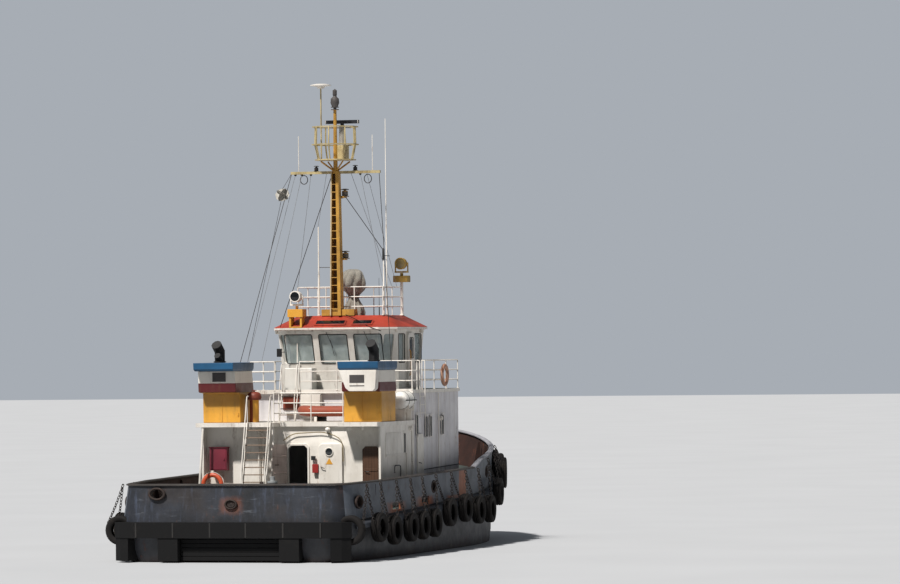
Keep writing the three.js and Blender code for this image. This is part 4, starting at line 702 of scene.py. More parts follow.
plate = boxes("small_dark_box", [(-6.42, AFT_WALL, -0.84, -0.68, 3.35, 3.5)], 0.006)
finish(plate, dark_paint, "black_paint")


def full_turn(count):
    """Evenly spaced angles round a whole turn"""
    return [2 * math.pi * i / count for i in range(count)]


life_ring_outline = [(0.34 + 0.08 * math.cos(a), 0.06 * math.sin(a)) for a in full_turn(12)]
RING_AT = Vector((-6.75, 2.93, 2.5))
life_ring = spun("life_ring", life_ring_outline, 32, 60)
life_ring.matrix_world = facing(RING_AT, (-1, 0, 0))
rope_way = [RING_AT + Vector((0.02 * math.sin(8 * a), 0.44 * math.cos(a), 0.44 * math.sin(a)))
            for a in full_turn(48)]
ring_rope = tubes("life_ring_rope", [rope_way], 0.009, 1, cyclic=True)
finish(life_ring, orange_plastic, "orange_fabric")
finish(ring_rope, white_paint, "white_plastic")
bracket = tubes("life_ring_bracket", [bent([(AFT_WALL, y, 2.2), (-6.84, y, 2.2), (-6.84, y, 2.32)], 0.03)
                                      for y in (2.78, 3.08)], 0.012)
finish(bracket, white_paint, "white_paint")
LAMP_RINGS = [(0.09, 0), (0.09, 0.03), (0.07, 0.04), (0.075, 0.1), (0.05, 0.13), (0.015, 0.14)]
lamps = [turned("lamp", LAMP_RINGS, (-6.9, y, 4.548), (0, 0, -1), 14) for y in (1.25, -2.3, -2.75)]
lamps.insert(0, turned("lamp", LAMP_RINGS, (AFT_WALL, -1.31, 4.44), (-1, 0, 0), 14))
finish(joined("overhang_lamps", *lamps), white_paint, "white_plastic")
hose_way = bent([(-6.39, 0.36, 4.05), (-6.39, 0.0, 4.3), (-6.39, -1.2, 4.36), (-6.39, -1.86, 4.1),
                 (-6.39, -1.88, 3.3)], 0.3)
hose_rubber = worn_paint("ochre_hose_rubber", "#8d7a4c", "#6e5f3d", rust_amount=0.1, grime="#3f3828",
                         gloss=0.6)
finish(tubes("clipped_hose", [hose_way], 0.016), hose_rubber, "white_plastic")
downpipes = tubes("wall_pipes", [bent([(-6.41, 1.1, SIDE_DECK), (-6.41, 1.1, 4.3), (-6.41, 1.5, 4.5)], 0.12),
                                 bent([(-6.41, 1.28, SIDE_DECK), (-6.41, 1.28, 4.5)], 0.12)], 0.03)
finish(downpipes, white_paint, "white_paint")


# Doors: pressed steel leaves with lever handles and rubber seals, and one hardwood door built of planks.
# The open door shows its stiffened inner face. The bridge doors have a tall window with round corners.
def planks_finish(name, colour, shade, plank_m, axis):
    """Varnished hardwood: planks side by side with dark seams, and grain along their length"""
    material, tree, place = new_material(name)
    grain = noise(tree, drawn_out(tree, place, 22, 22, 1.4), 1.2, 7.0, 0.7)
    across = add(tree, "SeparateXYZ", {0: place}).outputs[axis]
    seam = work(tree, "LESS_THAN", work(tree, "FRACT", work(tree, "DIVIDE", across, plank_m)), 0.07)
    return close_material(material, {"Base Color": blend(tree, seam, blend(tree, grain, shade, colour),
                                                         "#1d1009"),
                                     "Roughness": span(tree, grain, 0.3, 0.7, 0.4, 0.6),
                                     "Normal": relief(tree, grain, 0.4, 0.004)})


def window_finish(name, colour, haze, shine=0.8):
    """Window glass before a dark room, with a faint smear of salt"""
    material, tree, place = new_material(name)
    smear = noise(tree, place, 3.0, 5.0)
    return close_material(material, {"Base Color": blend(tree, smear, colour, haze),
                                     "Specular IOR Level": shine,
                                     "Roughness": span(tree, smear, 0.4, 0.7, 0.05, 0.2)})


room_glass = window_finish("dark_window_glass", "#12171a", "#22292d")
seal_rubber = rubber("window_seal_rubber", "#1c1c1d", "#121213", dust_amount=0.1)
teak = planks_finish("varnished_teak", "#64442f", "#35241a", 0.105, 1)
door_inside = worn_paint("door_inside_enamel", "#c8b7b0", "#ab9a93", rust="#7d4a2c", rust_amount=0.6,
                         grime="#5e5450", gloss=0.5, patch_m=0.5)
DOORS = ["aft_door", "store_door", "teak_door"]
DOORS += [kind + hand for kind in ("side_door_", "bridge_door_") for hand in ("port", "starboard")]
for node in DOORS:
    wooden = node == "teak_door"
    leaf = dressed(node, teak if wooden else white_paint, node + "_body",
                   "varnished_wood" if wooden else "white_paint", edge=0.01, segments=3)
    if node == "aft_door":
        repaint(leaf, door_inside, lambda face: abs(face.normal.y) > 0.5)

DOOR_FACE_X = -6.403
PORTHOLE_AT = (DOOR_FACE_X, -1.36, 3.64)
porthole = spun("store_porthole", [(0.13, 0), (0.155, 0), (0.155, 0.03), (0.145, 0.04), (0.13, 0.03)])
porthole.matrix_world = facing(PORTHOLE_AT, (-1, 0, 0))
finish(porthole, white_paint, "white_paint", body="store_door_body")
pane = turned("store_porthole_glass", [(0.138, 0), (0.138, 0.014), (0.05, 0.02)], PORTHOLE_AT, (-1, 0, 0))
finish(pane, room_glass, "window_glass", body="store_door_body")
lever_way = bent([(DOOR_FACE_X, -1.06, 3.1), (-6.47, -1.06, 3.1), (-6.47, -1.2, 3.06)], 0.03)
lever = tubes("store_door_lever", [lever_way], 0.014)
finish(lever, dark_paint, "black_paint", body="store_door_body")
triangle = cut_plate("blank_yellow_triangle", [(-0.13, 0), (0.13, 0), (0, 0.23)], 0.006)
triangle.matrix_world = (Matrix.Translation((DOOR_FACE_X - 0.004, -1.36, 3.2))
                         @ Matrix.Rotation(math.pi / 2, 4, "Z") @ Matrix.Rotation(math.pi / 2, 4, "X"))
finish(triangle, yellow_paint, "yellow_paint", body="store_door_body")
lever_way = bent([(DOOR_FACE_X, -2.72, 2.95), (-6.46, -2.72, 2.95), (-6.46, -2.86, 2.93)], 0.03)
lever = tubes("teak_door_lever", [lever_way], 0.013)
finish(lever, dark_paint, "black_paint", body="teak_door_body")
ledges = boxes("teak_door_ledges", [(-6.42, -6.4, -3.16, -2.66, z, z + 0.09) for z in (2.15, 2.95, 3.6)],
               0.006)
finish(ledges, teak, "varnished_wood", body="teak_door_body")

OPEN_TURN = math.radians(-112)
OPEN_HINGE = Vector((-6.415, 0.255, 0))


def swung(x, y, z):
    """A place on the shut aft door, swung open about its hinge"""
    return OPEN_HINGE + Matrix.Rotation(OPEN_TURN, 3, "Z") @ Vector((x - OPEN_HINGE.x, y - OPEN_HINGE.y, z))


stiffeners = [[swung(-6.345, -0.5, z), swung(-6.345, 0.18, z)] for z in (2.3, 2.9, 3.5)]
clamps = [bent([swung(-6.35, -0.42, z), swung(-6.28, -0.42, z), swung(-6.28, -0.3, z)], 0.02)
          for z in (2.45, 3.2)]
finish(tubes("aft_door_stiffeners", stiffeners, 0.022), door_inside, "white_paint", body="aft_door_body")
finish(tubes("aft_door_clamps", clamps, 0.015), dark_paint, "black_paint", body="aft_door_body")


def rounded(middle, wide, low, high, radius, spot):
    """The closed outline of a window with round corners. Spot turns a place across and up it into a point"""
    left, right = middle - wide / 2, middle + wide / 2
    corners = [(middle, low), (right, low), (right, high), (left, high), (left, low), (middle, low)]
    return bent([spot(across, up) for across, up in corners], radius)[:-1]


for side, hand in ((1, "port"), (-1, "starboard")):
    face = 3.463 * side
    out = 0.06 * side
    lever_way = bent([(-2.38, face, 3.15), (-2.38, face + out, 3.15), (-2.25, face + out, 3.12)], 0.03)
    lever = tubes("side_door_lever_" + hand, [lever_way], 0.014)
    finish(lever, dark_paint, "black_paint", body="side_door_%s_body" % hand)
    face = 2.353 * side
    handle_way = [(0.16, face, 6.3), (0.16, face + out, 6.34), (0.16, face + out, 7.2), (0.16, face, 7.24)]
    handle = tubes("bridge_door_handle_" + hand, [bent(handle_way, 0.05)], 0.016)
    finish(handle, yellow_paint, "yellow_paint", body="bridge_door_%s_body" % hand)
    ring = rounded(0.46, 0.48, 6.94, 7.69, 0.1, lambda across, up: (across, face, up))
    seal = tubes("bridge_door_seal_" + hand, [ring], 0.016, 1, cyclic=True)
    finish(seal, seal_rubber, "fender_rubber", body="bridge_door_%s_body" % hand)
    inset = face - 0.025 * side
    glass = boxes("bridge_door_glass_" + hand, [(0.262, 0.658, inset - 0.004, inset + 0.004, 6.942, 7.688)],
                  0.002, 1)
    finish(glass, room_glass, "window_glass", body="bridge_door_%s_body" % hand)


# Boat deck: white plate with a deep fascia over the aft house's wings, and a mushroom ventilator on its port
# side. The ventilator's cowl is a spun brown dome over a yellow and brown trunk.
boat_deck_top = worn_paint("pale_deck_paint", "#c3beb5", "#aba69d", rust_amount=0.5, grime="#6d675e",
                           gloss=0.6)
deck = dressed("boat_deck", white_paint, BODY, "white_paint", edge=0.008)
repaint(deck, boat_deck_top, lambda face: face.normal.z > 0.9 and face.center.z < 4.75)
VENT_AT = Vector((-5.8, 1.64, 0))


def on_vent(face):
    """Whether a face of the boat deck's piece is on the ventilator's trunk"""
    return face.center.z > 4.76 and (face.center - VENT_AT).to_2d().length < 0.45


repaint(deck, yellow_paint, lambda face: on_vent(face) and face.center.y < VENT_AT.y)
repaint(deck, brown_paint, lambda face: on_vent(face) and (face.center.y >= VENT_AT.y or face.center.z > 5.5))
BOAT_DECK = 4.7      # top of the boat deck
cowl_rings = [(0.258, 5.56), (0.262, 5.6), (0.255, 5.66), (0.23, 5.72), (0.19, 5.765), (0.12, 5.79),
              (0.04, 5.8)]
cowl = turned("ventilator_cowl", cowl_rings, VENT_AT, sides=28)
finish(cowl, brown_paint, "red_paint")
wheel_rings = [(0.03, 5.795), (0.03, 5.83), (0.09, 5.835), (0.09, 5.85), (0.02, 5.86)]
finish(turned("ventilator_handwheel", wheel_rings, VENT_AT, sides=16), brown_paint, "red_paint")


# Stair to the boat deck: flat-bar steel stringers that stand on the main deck and lean on the upper one, with
# weathered wooden treads between them, and white pipe handrails with a bent head.
STAIR_SIDES = (0.545, 1.42)
STAIR_HEAD = Vector((-7.215, 0, BOAT_DECK))
STAIR_FOOT = Vector((-8.115, 0, 1.3))
TREADS = 12
tread_wood = planks_finish("grey_tread_wood", "#9c8a79", "#6b5646", 0.14, 0)
DECK_AT_STAIR = sheer(-8.05) + 0.005
rails = []
for y in STAIR_SIDES:
    low = STAIR_FOOT + Vector((-0.04, y, 0.9))
    top = STAIR_HEAD + Vector((-0.04, y, 0.95))
    base = Vector((-8.135, y, DECK_AT_STAIR))
    rails.append(bent([base, low, top, top + Vector((0.16, 0, 0))], 0.16))
    rails.append([STAIR_HEAD + Vector((0, y, -0.03)), top])
    for share in (0.33, 0.66):
        rails.append([low.lerp(top, share), STAIR_FOOT.lerp(STAIR_HEAD, share) + Vector((0, y, 0.05))])
stringers = []
for y in STAIR_SIDES:
    stringer = cut_plate("stringer", [(-8.11, DECK_AT_STAIR), (-7.99, DECK_AT_STAIR), (-7.155, BOAT_DECK),
                                      (-7.275, BOAT_DECK)], 0.03, 0.004)
    stringer.matrix_world = Matrix.Translation((0, y, 0)) @ Matrix.Rotation(math.pi / 2, 4, "X")
    stringers.append(stringer)
stair_steel = joined("boat_deck_stair_steel", tubes("rails", rails, 0.021), *stringers)
finish(stair_steel, white_paint, "white_paint", "boat_deck_stair")
steps = []
for i in range(1, TREADS + 1):
    at = STAIR_FOOT.lerp(STAIR_HEAD, i / (TREADS + 1))
    if at.z > DECK_AT_STAIR + 0.05:
        steps.append((at.x - 0.09, at.x + 0.09, STAIR_SIDES[0] + 0.015, STAIR_SIDES[1] - 0.015, at.z - 0.018,
                      at.z + 0.018))
finish(boxes("boat_deck_stair_treads", steps, 0.006), tread_wood, "varnished_wood", "boat_deck_stair")


# Railings: 42 mm white steel pipe. Posts are welded to the deck with round feet, and three courses of pipe
# with bent corners run along them.
RAIL_HEIGHTS = (0.33, 0.69, 1.05)


def railing(name, runs, floor, pitch, node):
    """Posts and rails along runs of level places, as one piece"""
    ways, feet = [], []
    for run in runs:
        for height in RAIL_HEIGHTS:
            ways.append(bent([(x, y, floor + height) for x, y in run], 0.1))
        for (ax, ay), (bx, by) in zip(run, run[1:]):
            count = max(1, round(math.hypot(bx - ax, by - ay) / pitch))
            for k in range(count + 1):
                if k == 0 and (ax, ay) != run[0]:
                    continue
                spot = Vector((ax + (bx - ax) * k / count, ay + (by - ay) * k / count, floor))
                ways.append([spot, spot + Vector((0, 0, RAIL_HEIGHTS[2]))])
                feet.append(turned("foot", [(0.045, 0.001), (0.045, 0.012), (0.03, 0.02)], spot, sides=10))
    return finish(joined(name, tubes(name, ways, 0.021), *feet), white_paint, "white_paint", node)


railing("boat_deck_rail_pipes", [[(-6.95, 0.52), (-6.36, 0.52), (-6.36, -1.88)]], BOAT_DECK, 1.35,
        "boat_deck_rail")


# Dinghy: a small inflatable boat in faded orange fabric, on two dark chocks. Its tubes have glued seams and a
# black rubbing strip, and a life line runs round it through patches.
DINGHY_AT = Vector((-4.13, 0, 5.06))
DINGHY_Y, DINGHY_TUBE = (-2.03, 0.54), 0.19


def faded_fabric(name, colour, shade, weave_mm=14, crease_m=0.012):
    """Coated boat fabric, faded in patches, with a woven grain drawn coarse enough to show"""
    material, tree, place = new_material(name)
    patch = noise(tree, place, 3.0, 6.0, 0.7)
    folds = noise(tree, place, 5.0, 3.0, distortion=0.8)
    height = work(tree, "ADD", folds, noise(tree, place, 1000 / weave_mm))
    return close_material(material, {"Base Color": blend(tree, patch, shade, colour), "Sheen Weight": 0.2,
                                     "Roughness": span(tree, patch, 0.3, 0.7, 0.55, 0.8),
                                     "Normal": relief(tree, height, 0.5, crease_m)})


orange_fabric = faded_fabric("coated_orange_fabric", "#a4492b", "#74331c")
black_strip = rubber("dinghy_rub_strip", "#2a2828", "#1b1a1a")
y0, y1 = DINGHY_Y[0] + DINGHY_TUBE, DINGHY_Y[1] - DINGHY_TUBE
half = 0.64 - DINGHY_TUBE
skin = DINGHY_TUBE - 0.004


def aboard(x, y, z=0.0):
    """A place in the dinghy, from its middle line and the middle height of its tubes"""
    return DINGHY_AT + Vector((x, y, z))


tube_way = bent([aboard(half, y0), aboard(half, y1 - 0.4), aboard(0.15, y1, 0.03), aboard(-0.15, y1, 0.03),
                 aboard(-half, y1 - 0.4), aboard(-half, y0)], 0.4, 8)
hull_tube = tubes("dinghy_tubes", [tube_way], skin, 6)
cones = [turned("cone", [(skin, 0), (0.16, 0.05), (0.09, 0.12), (0.03, 0.15)], aboard(x, y0 + 0.01),
                (0, -1, 0)) for x in (half, -half)]
thwart = tubes("dinghy_thwart", [[aboard(-half, y0 + 0.85, 0.05), aboard(half, y0 + 0.85, 0.05)]], 0.1, 4)


def aboard_boxes(name, rows, edge):
    """Blocks whose x is counted from the dinghy's middle line"""
    return boxes(name, [(DINGHY_AT.x + a, DINGHY_AT.x + b, *row) for a, b, *row in rows], edge)


bottom = aboard_boxes("dinghy_bottom", [(-half, half, y0 + 0.02, y1 - 0.25, 4.9, 4.95)], 0.015)
finish(joined("dinghy_hull", hull_tube, *cones, thwart, bottom), orange_fabric, "orange_fabric", "dinghy")
transom = aboard_boxes("dinghy_transom", [(0.12 - half, half - 0.12, y0 + 0.1, y0 + 0.13, 4.93, 5.25)], 0.008)
middle = aboard(0, (y0 + y1) / 2)
strip_way = [point + (point - middle).normalized() * skin for point in tube_way]
strip_way = [Vector((point.x, min(point.y, DINGHY_Y[1] - 0.012), DINGHY_AT.z)) for point in strip_way]
rub_strip = tubes("dinghy_rub_strip", [strip_way], 0.014, 1)
finish(joined("dinghy_trim", transom, rub_strip), black_strip, "black_paint", "dinghy")
CHOCK_FOOT = BOAT_DECK + 0.002
chocks = [(-0.55, 0.55, y - 0.05, y + 0.05, CHOCK_FOOT, 4.9) for y in (-1.5, -0.3)]
chocks += [(x - 0.05, x + 0.05, y - 0.05, y + 0.05, CHOCK_FOOT, 4.99) for y in (-1.5, -0.3)
           for x in (0.5, -0.5)]
finish(aboard_boxes("dinghy_chocks", chocks, 0.01), dark_paint, "black_paint", "dinghy")
life_lines = []
for side in (1, -1):
    start, end = aboard(side * half, y0), aboard(side * half, y1 - 0.4)
    life_lines.append([start.lerp(end, i / 12)
                       + Vector((0.13 * side, 0, 0.12 - 0.05 * abs(math.sin(math.pi * i / 4))))
                       for i in range(13)])
finish(tubes("dinghy_life_line", life_lines, 0.008, 1), white_paint, "white_plastic")


# Life raft: a moulded white resin canister in two ribbed halves, with a rubber joint and two closing bands.
# It lies in a welded steel cradle on the starboard side of the boat deck.
raft_white = worn_paint("moulded_white_resin", "#ebe8e2", "#d9d5cd", rust_amount=0.1, grime="#99938a",
                        gloss=0.25)
RAFT_X, RAFT_Y, RAFT_Z = (-4.03, -2.78), -3.22, 5.43
long = RAFT_X[1] - RAFT_X[0]
raft_rings = [(0.1, 0.0), (0.2, 0.02), (0.27, 0.07), (0.305, 0.14), (0.31, 0.2)]
for i in range(4):
    start = 0.22 + i * 0.21
    raft_rings += [(0.31, start), (0.322, start + 0.02), (0.322, start + 0.13), (0.31, start + 0.15)]
raft_rings += [(0.305, long - 0.14), (0.27, long - 0.07), (0.2, long - 0.02), (0.1, long)]
canister = turned("life_raft_canister", raft_rings, (RAFT_X[0], RAFT_Y, RAFT_Z), (1, 0, 0), 28)
finish(canister, raft_white, "white_plastic", "life_raft")
joint = boxes("life_raft_joint", [(RAFT_X[0] + 0.06, RAFT_X[1] - 0.06, RAFT_Y - 0.33, RAFT_Y + 0.33,
                                   RAFT_Z - 0.016, RAFT_Z + 0.016)], 0.006)
straps = [[(x, RAFT_Y + 0.327 * math.cos(a), RAFT_Z + 0.327 * math.sin(a)) for a in full_turn(32)]
          for x in (-3.72, -3.09)]
bands = tubes("life_raft_bands", straps, 0.007, 1, cyclic=True)
cradle_rows = []
for x in (-3.72, -3.09):
    cradle_rows += [(x - 0.03, x + 0.03, RAFT_Y - 0.3, RAFT_Y + 0.3, 5.05, 5.11),
                    (x - 0.03, x + 0.03, RAFT_Y - 0.3, RAFT_Y - 0.24, 5.1, 5.28),
                    (x - 0.03, x + 0.03, RAFT_Y + 0.24, RAFT_Y + 0.3, BOAT_DECK + 0.002, 5.28)]
finish(joint, seal_rubber, "fender_rubber")
finish(bands, dark_paint, "black_paint")
finish(boxes("life_raft_cradle", cradle_rows, 0.006), white_paint, "white_paint", "life_raft")


# Funnels: a yellow plate casing whose head stands out aft, with a dark red and a white band and a broad blue
# cap. Bands are brushed on by hand. A louvred plate is bolted to the port head.
def banded(name, rows):
    """Enamel in level bands. A row is the height at which a band starts and its two tones"""
    def tones(tree, place, tone):
        height = add(tree, "SeparateXYZ", {0: place}).outputs[2]
        patch = noise(tree, place, 0.9, 5.0)
        # Painted shade: the yellow darkens from 5 m up to the bands, as it would under the overhanging head
        head_shade = span(tree, height, 5.0, 5.45, 0.0, 0.42)      # it lies under the bands
        tone = blend(tree, head_shade, tone, "#3f2b12")
        for low, colour, shade in rows:
            tone = blend(tree, work(tree, "GREATER_THAN", height, low), tone,
                         blend(tree, patch, shade, colour))
        return tone
    return worn_paint(name, "#e3a840", "#cf942e", rust="#80502a", rust_amount=0.35, grime="#6d5838",
                      grime_amount=0.35, streak_m=0.25, gloss=0.36, base=tones)


funnel_paint = banded("banded_funnel_enamel", [(5.785, "#601116", "#450b0f"), (6.12, "#e6e1d8", "#cfc8bd")])
blue_paint = worn_paint("blue_cap_enamel", "#18567f", "#103f5f", rust_amount=0.3, grime="#17405f", gloss=0.35)
soot_paint = worn_paint("sooty_black_enamel", "#111113", "#08080a", rust="#33241c", rust_amount=0.5,
                        grime="#1f1d1b", gloss=0.55, bump=0.5)
cap_inside = worn_paint("sooty_cap_floor", "#2b2a2a", "#1a1919", rust_amount=0.6, grime="#111010", gloss=0.8)
for hand, side in (("port", 1), ("starboard", -1)):
    dressed("funnel_" + hand, funnel_paint, BODY, "yellow_paint", edge=0.03, segments=4)
    cap = dressed("funnel_cap_" + hand, blue_paint, BODY, "blue_paint", edge=0.012)
    repaint(cap, cap_inside, lambda face: face.normal.z > 0.9 and face.center.z < 6.75)
louvre_rows = [(-6.875, -6.845, 2.35, 2.85, 6.17, 6.5)]
louvre_rows += [(-6.893, -6.87, 2.38, 2.82, 6.2 + 0.048 * i, 6.222 + 0.048 * i) for i in range(6)]
louvres = boxes("funnel_louvre_port", louvre_rows, 0.004, 1)
louvre_paint = worn_paint("grey_louvre_enamel", "#4b4746", "#332f2e", rust_amount=0.3, gloss=0.5)
finish(louvres, louvre_paint, "white_paint")
casing_seams = [(-6.482, -6.462, 2.62, 2.65, 4.75, 5.72), (-6.482, -6.462, -2.65, -2.62, 4.75, 5.72)]
hinges = [(-6.5, -6.46, y, y + 0.05, z, z + 0.1) for y in (2.0, -3.3) for z in (4.95, 5.45)]
finish(boxes("funnel_access_panels", casing_seams + hinges, 0.004, 1), funnel_paint, "yellow_paint")


# Exhausts: steel pipes turned aft at their heads, black with soot, each with a flanged collar at its foot in
# the funnel cap's well. A white ventilation housing with a blank plate is fixed aft on the starboard funnel.
EXHAUST_PIPES = {"port": [(-6.35, 2.74, 0.19, 0.6), (-6.8, 2.6, 0.12, 0.29)],
                 "starboard": [(-6.35, -3.05, 0.19, 0.6)]}
for hand, pipes in EXHAUST_PIPES.items():
    dressed("exhausts_" + hand, soot_paint, BODY, "black_paint", edge=0.01, angle=45)
    collars = []
    for x, y, radius, rise in pipes:
        collars.append(turned("collar", [(radius + 0.035, 6.86), (radius + 0.035, 6.9),
                                         (radius + 0.004, 6.905)], (x, y, 0), sides=24))
    finish(joined("exhaust_collars_" + hand, *collars), soot_paint, "black_paint")
dressed("vent_housing", white_paint, BODY, "white_paint", edge=0.015)
plate_rows = [(-7.212, -7.198, -2.95, -2.4, 6.1, 6.38), (-7.212, -7.198, -2.95, -2.4, 5.98, 6.01)]
finish(boxes("blank_plate", plate_rows, 0.004, 1), louvre_paint, "white_paint")


# Fore house: the crew's cabins in white plate, with frames showing through as faint seams. Both sides have
# narrow windows with round corners and pipes, and the starboard side has a shutter and thin dark lines.
FRAME_PITCH = 0.58      # spacing of the frames behind the plate, in metres


def framed_tones(tree, place, tone):
    """Plate that has sunk between its frames, which shows as faint upright bands of light and shade"""
    along = add(tree, "SeparateXYZ", {0: place}).outputs[0]
    sunk = work(tree, "SINE", work(tree, "MULTIPLY", along, 2 * math.pi / FRAME_PITCH))
    band = work(tree, "MULTIPLY", sunk, noise(tree, place, 0.5, 3.0))
    return blend(tree, span(tree, band, 0.1, 0.6, 0.0, 0.4), tone, "#b3aaa6")


house_paint = worn_paint("weathered_house_enamel", "#dcd9da", "#c2bfc2", rust="#7d4a2c", rust_amount=0.5,
                         grime="#8d857a", grime_amount=0.45, streak_m=0.22, gloss=0.4, patch_m=1.1,
                         base=framed_tones)
dressed("fore_house", house_paint, BODY, "white_paint", edge=0.01)
WALL_Y = {"aft": 3.36, "fore": 3.4}
SLOTS = [("aft", -3.78, 3.9, 0.13, 0.36), ("fore", -2.35, 4.53, 0.13, 0.36),
         ("fore", -1.19, 4.44, 0.15, 0.38), ("fore", -0.66, 4.44, 0.13, 0.38),
         ("fore", 0.83, 4.48, 0.15, 0.36)]
slot_glass = window_finish("shaded_cabin_glass", "#0c0e11", "#15191c", 0.05)
frames, panes, drip_rails = [], [], []
for side in (1, -1):
    for wall, x, z, wide, high in SLOTS:
        face = (WALL_Y[wall] + 0.002) * side
        ring = rounded(x, 2 * wide, z - high, z + high, 0.09, lambda across, up: (across, face, up))
        frames.append(tubes("frame", [ring], 0.014, 1, cyclic=True))
        panes.append((x - wide, x + wide, face - 0.006, face + 0.006, z - high, z + high))
        drip_rails.append((x - 0.2, x + 0.2, face, face + 0.035 * side, z + high + 0.05, z + high + 0.07))
finish(joined("slot_window_frames", *frames), white_paint, "white_paint")
finish(boxes("slot_window_panes", panes, 0.004, 1), slot_glass, "window_glass")
finish(boxes("window_drip_rails", drip_rails, 0.004, 1), white_paint, "white_paint")
shutter = boxes("side_wall_shutter", [(-6.1, -4.25, -3.385, -3.35, 3.52, 4.3),
                                      (-6.13, -4.22, -3.42, -3.35, 3.45, 3.53)], 0.01)
finish(shutter, white_paint, "white_paint")
side_pipes = tubes("house_side_pipes", [
    [(-2.93, -3.385, 1.8), (-2.93, -3.385, 4.5)], [(0.25, -3.425, 2.0), (0.25, -3.425, 5.65)],
    bent([(-3.66, -3.4, 2.6), (-3.66, -3.4, 3.51), (-3.66, -3.36, 3.55)], 0.04),
    [(-2.9, 3.385, 1.8), (-2.9, 3.385, 4.5)], [(0.25, 3.425, 2.0), (0.25, 3.425, 5.65)]], 0.024)
finish(side_pipes, white_paint, "white_paint")
dark_pipes = tubes("house_side_lines", [
    bent([(-4.45, -3.4, 2.3), (-4.45, -3.42, 3.12), (-5.2, -3.42, 3.12), (-5.2, -3.42, 2.85)], 0.2),
    bent([(-2.1, -3.41, 2.86), (-2.1, -3.44, 2.88), (2.8, -3.44, 2.98), (2.8, -3.41, 2.98)], 0.03)], 0.018)
finish(dark_pipes, dark_paint, "black_paint")
side_lamps = [turned("lamp", LAMP_RINGS, (x, wall * side, z), (0, side, 0), 14) for side in (1, -1)
              for x, wall, z in ((0.44, 3.4, 4.72), (-3.2, 3.36, 4.4))]
finish(joined("side_lamps", *side_lamps), white_paint, "white_plastic")
step_wall = boxes("step_wall_locker", [(-2.86, -2.605, 0.12, 0.88, 4.9, 5.66)], 0.02)
finish(step_wall, white_paint, "white_paint")
rusty_panel = boxes("step_wall_panel", [(-2.64, -2.605, 1.0, 1.62, 5.1, 5.6)], 0.006)
finish(rusty_panel, brown_paint, "red_paint")


# Bridge deck: plate with a rounded edge, white pipe rails, a short stair from the boat deck and a side
# ladder. A life ring hangs on the starboard rail, and a moulded locker stands at the port corner.
BRIDGE_DECK = 5.8      # top of the bridge deck
bridge_deck = dressed("bridge_deck", white_paint, BODY, "white_paint", edge=0.01)
repaint(bridge_deck, deck_paint, lambda face: face.normal.z > 0.9)
railing("bridge_rail_pipes", [
    [(-2.13, -3.34), (-2.74, -3.34), (-2.74, 0.94)],
    [(-2.74, 1.9), (-2.74, 2.85), (-1.2, 2.85), (-1.2, 3.34), (3.04, 3.34), (3.04, -3.34), (-1.5, -3.34)]],
    BRIDGE_DECK, 1.5, "bridge_deck_rail")
coaming = boxes("bridge_coaming", [(-2.76, -2.7205, -3.38, 3.38, 5.68, 5.83)], 0.006)
finish(coaming, white_paint, "white_paint", "bridge_deck_rail")
LADDER_SIDES = (1.0, 1.6)
ladder_foot, ladder_head = Vector((-3.15, 0, BOAT_DECK)), Vector((-2.795, 0, BRIDGE_DECK))
ladder_ways = []
for y in LADDER_SIDES:
    over = ladder_head + Vector((-0.04, y, 0.95))
    ladder_ways.append(bent([ladder_foot + Vector((-0.04, y, 0.005)), ladder_foot + Vector((-0.06, y, 0.7)),
                             over, over + Vector((0.16, 0, 0))], 0.15))
    ladder_ways.append([ladder_head + Vector((0, y, 0)), over])
    ladder_ways.append([ladder_foot + Vector((0.02, y, 0.005)), ladder_head + Vector((0.02, y, 0))])
for x in (-2.13, -1.5):
    ladder_ways.append(bent([(x, -3.45, 4.78), (x, -3.45, 6.85), (x, -3.32, 6.85)], 0.08))
bars = [[(-2.13, -3.45, z), (-1.5, -3.45, z)] for z in (4.95, 5.25, 5.55)]
ladder = joined("bridge_ladder_pipes", tubes("ways", ladder_ways, 0.021), tubes("bars", bars, 0.014))
finish(ladder, white_paint, "white_paint", "bridge_deck_rail")
ladder_steps = []
for i in range(1, 5):
    at = ladder_foot.lerp(ladder_head, i / 5)
    ladder_steps.append((at.x - 0.07, at.x + 0.07, LADDER_SIDES[0] + 0.02, LADDER_SIDES[1] - 0.02,
                         at.z - 0.015, at.z + 0.015))
finish(boxes("bridge_ladder_treads", ladder_steps, 0.005), tread_wood, "varnished_wood", "bridge_deck_rail")
rail_ring = spun("bridge_life_ring", life_ring_outline, 32, 60)
rail_ring.matrix_world = facing((1.1, -3.42, 6.3), (0, -1, 0))
faded_plastic = worn_paint("faded_orange_plastic", "#b98d74", "#8f5f48", rust_amount=0.0, grime="#4a3a33",
                           grime_amount=0.6, streak_m=0.06, gloss=0.5, patch_m=0.2)
finish(rail_ring, faded_plastic, "orange_fabric")
dressed("deck_locker", raft_white, BODY, "white_plastic", edge=0.03, segments=3)
locker_trim = boxes("deck_locker_trim", [(-2.062, -1.5, 0.69, 1.74, 6.42, 6.435)], 0.004, 1)
finish(locker_trim, raft_white, "white_plastic")


# Wheelhouse: eight-sided, in white plate, with its ends leaning outwards above the sill. Tall panes sit in
# black seals, with wipers on the ends. The helm stands in the middle.
dressed("wheelhouse", white_paint, BODY, "white_paint", edge=0.006)
clear_glass, tree, place = new_material("clear_window_glass")
smear = noise(tree, place, 2.5, 5.0)
close_material(clear_glass, {"Base Color": blend(tree, smear, "#a9b9ba", "#c6d0ce"), "Roughness": 0.05,
                             "Alpha": span(tree, smear, 0.35, 0.75, 0.45, 0.7)})
dressed("wheelhouse_glass", clear_glass, BODY, "window_glass")
console_paint = worn_paint("helm_console_enamel", "#4d5154", "#3c4043", rust_amount=0.05, grime="#2a2c2e",
                           gloss=0.4)
dressed("helm_console", console_paint, BODY, "black_paint", edge=0.02)

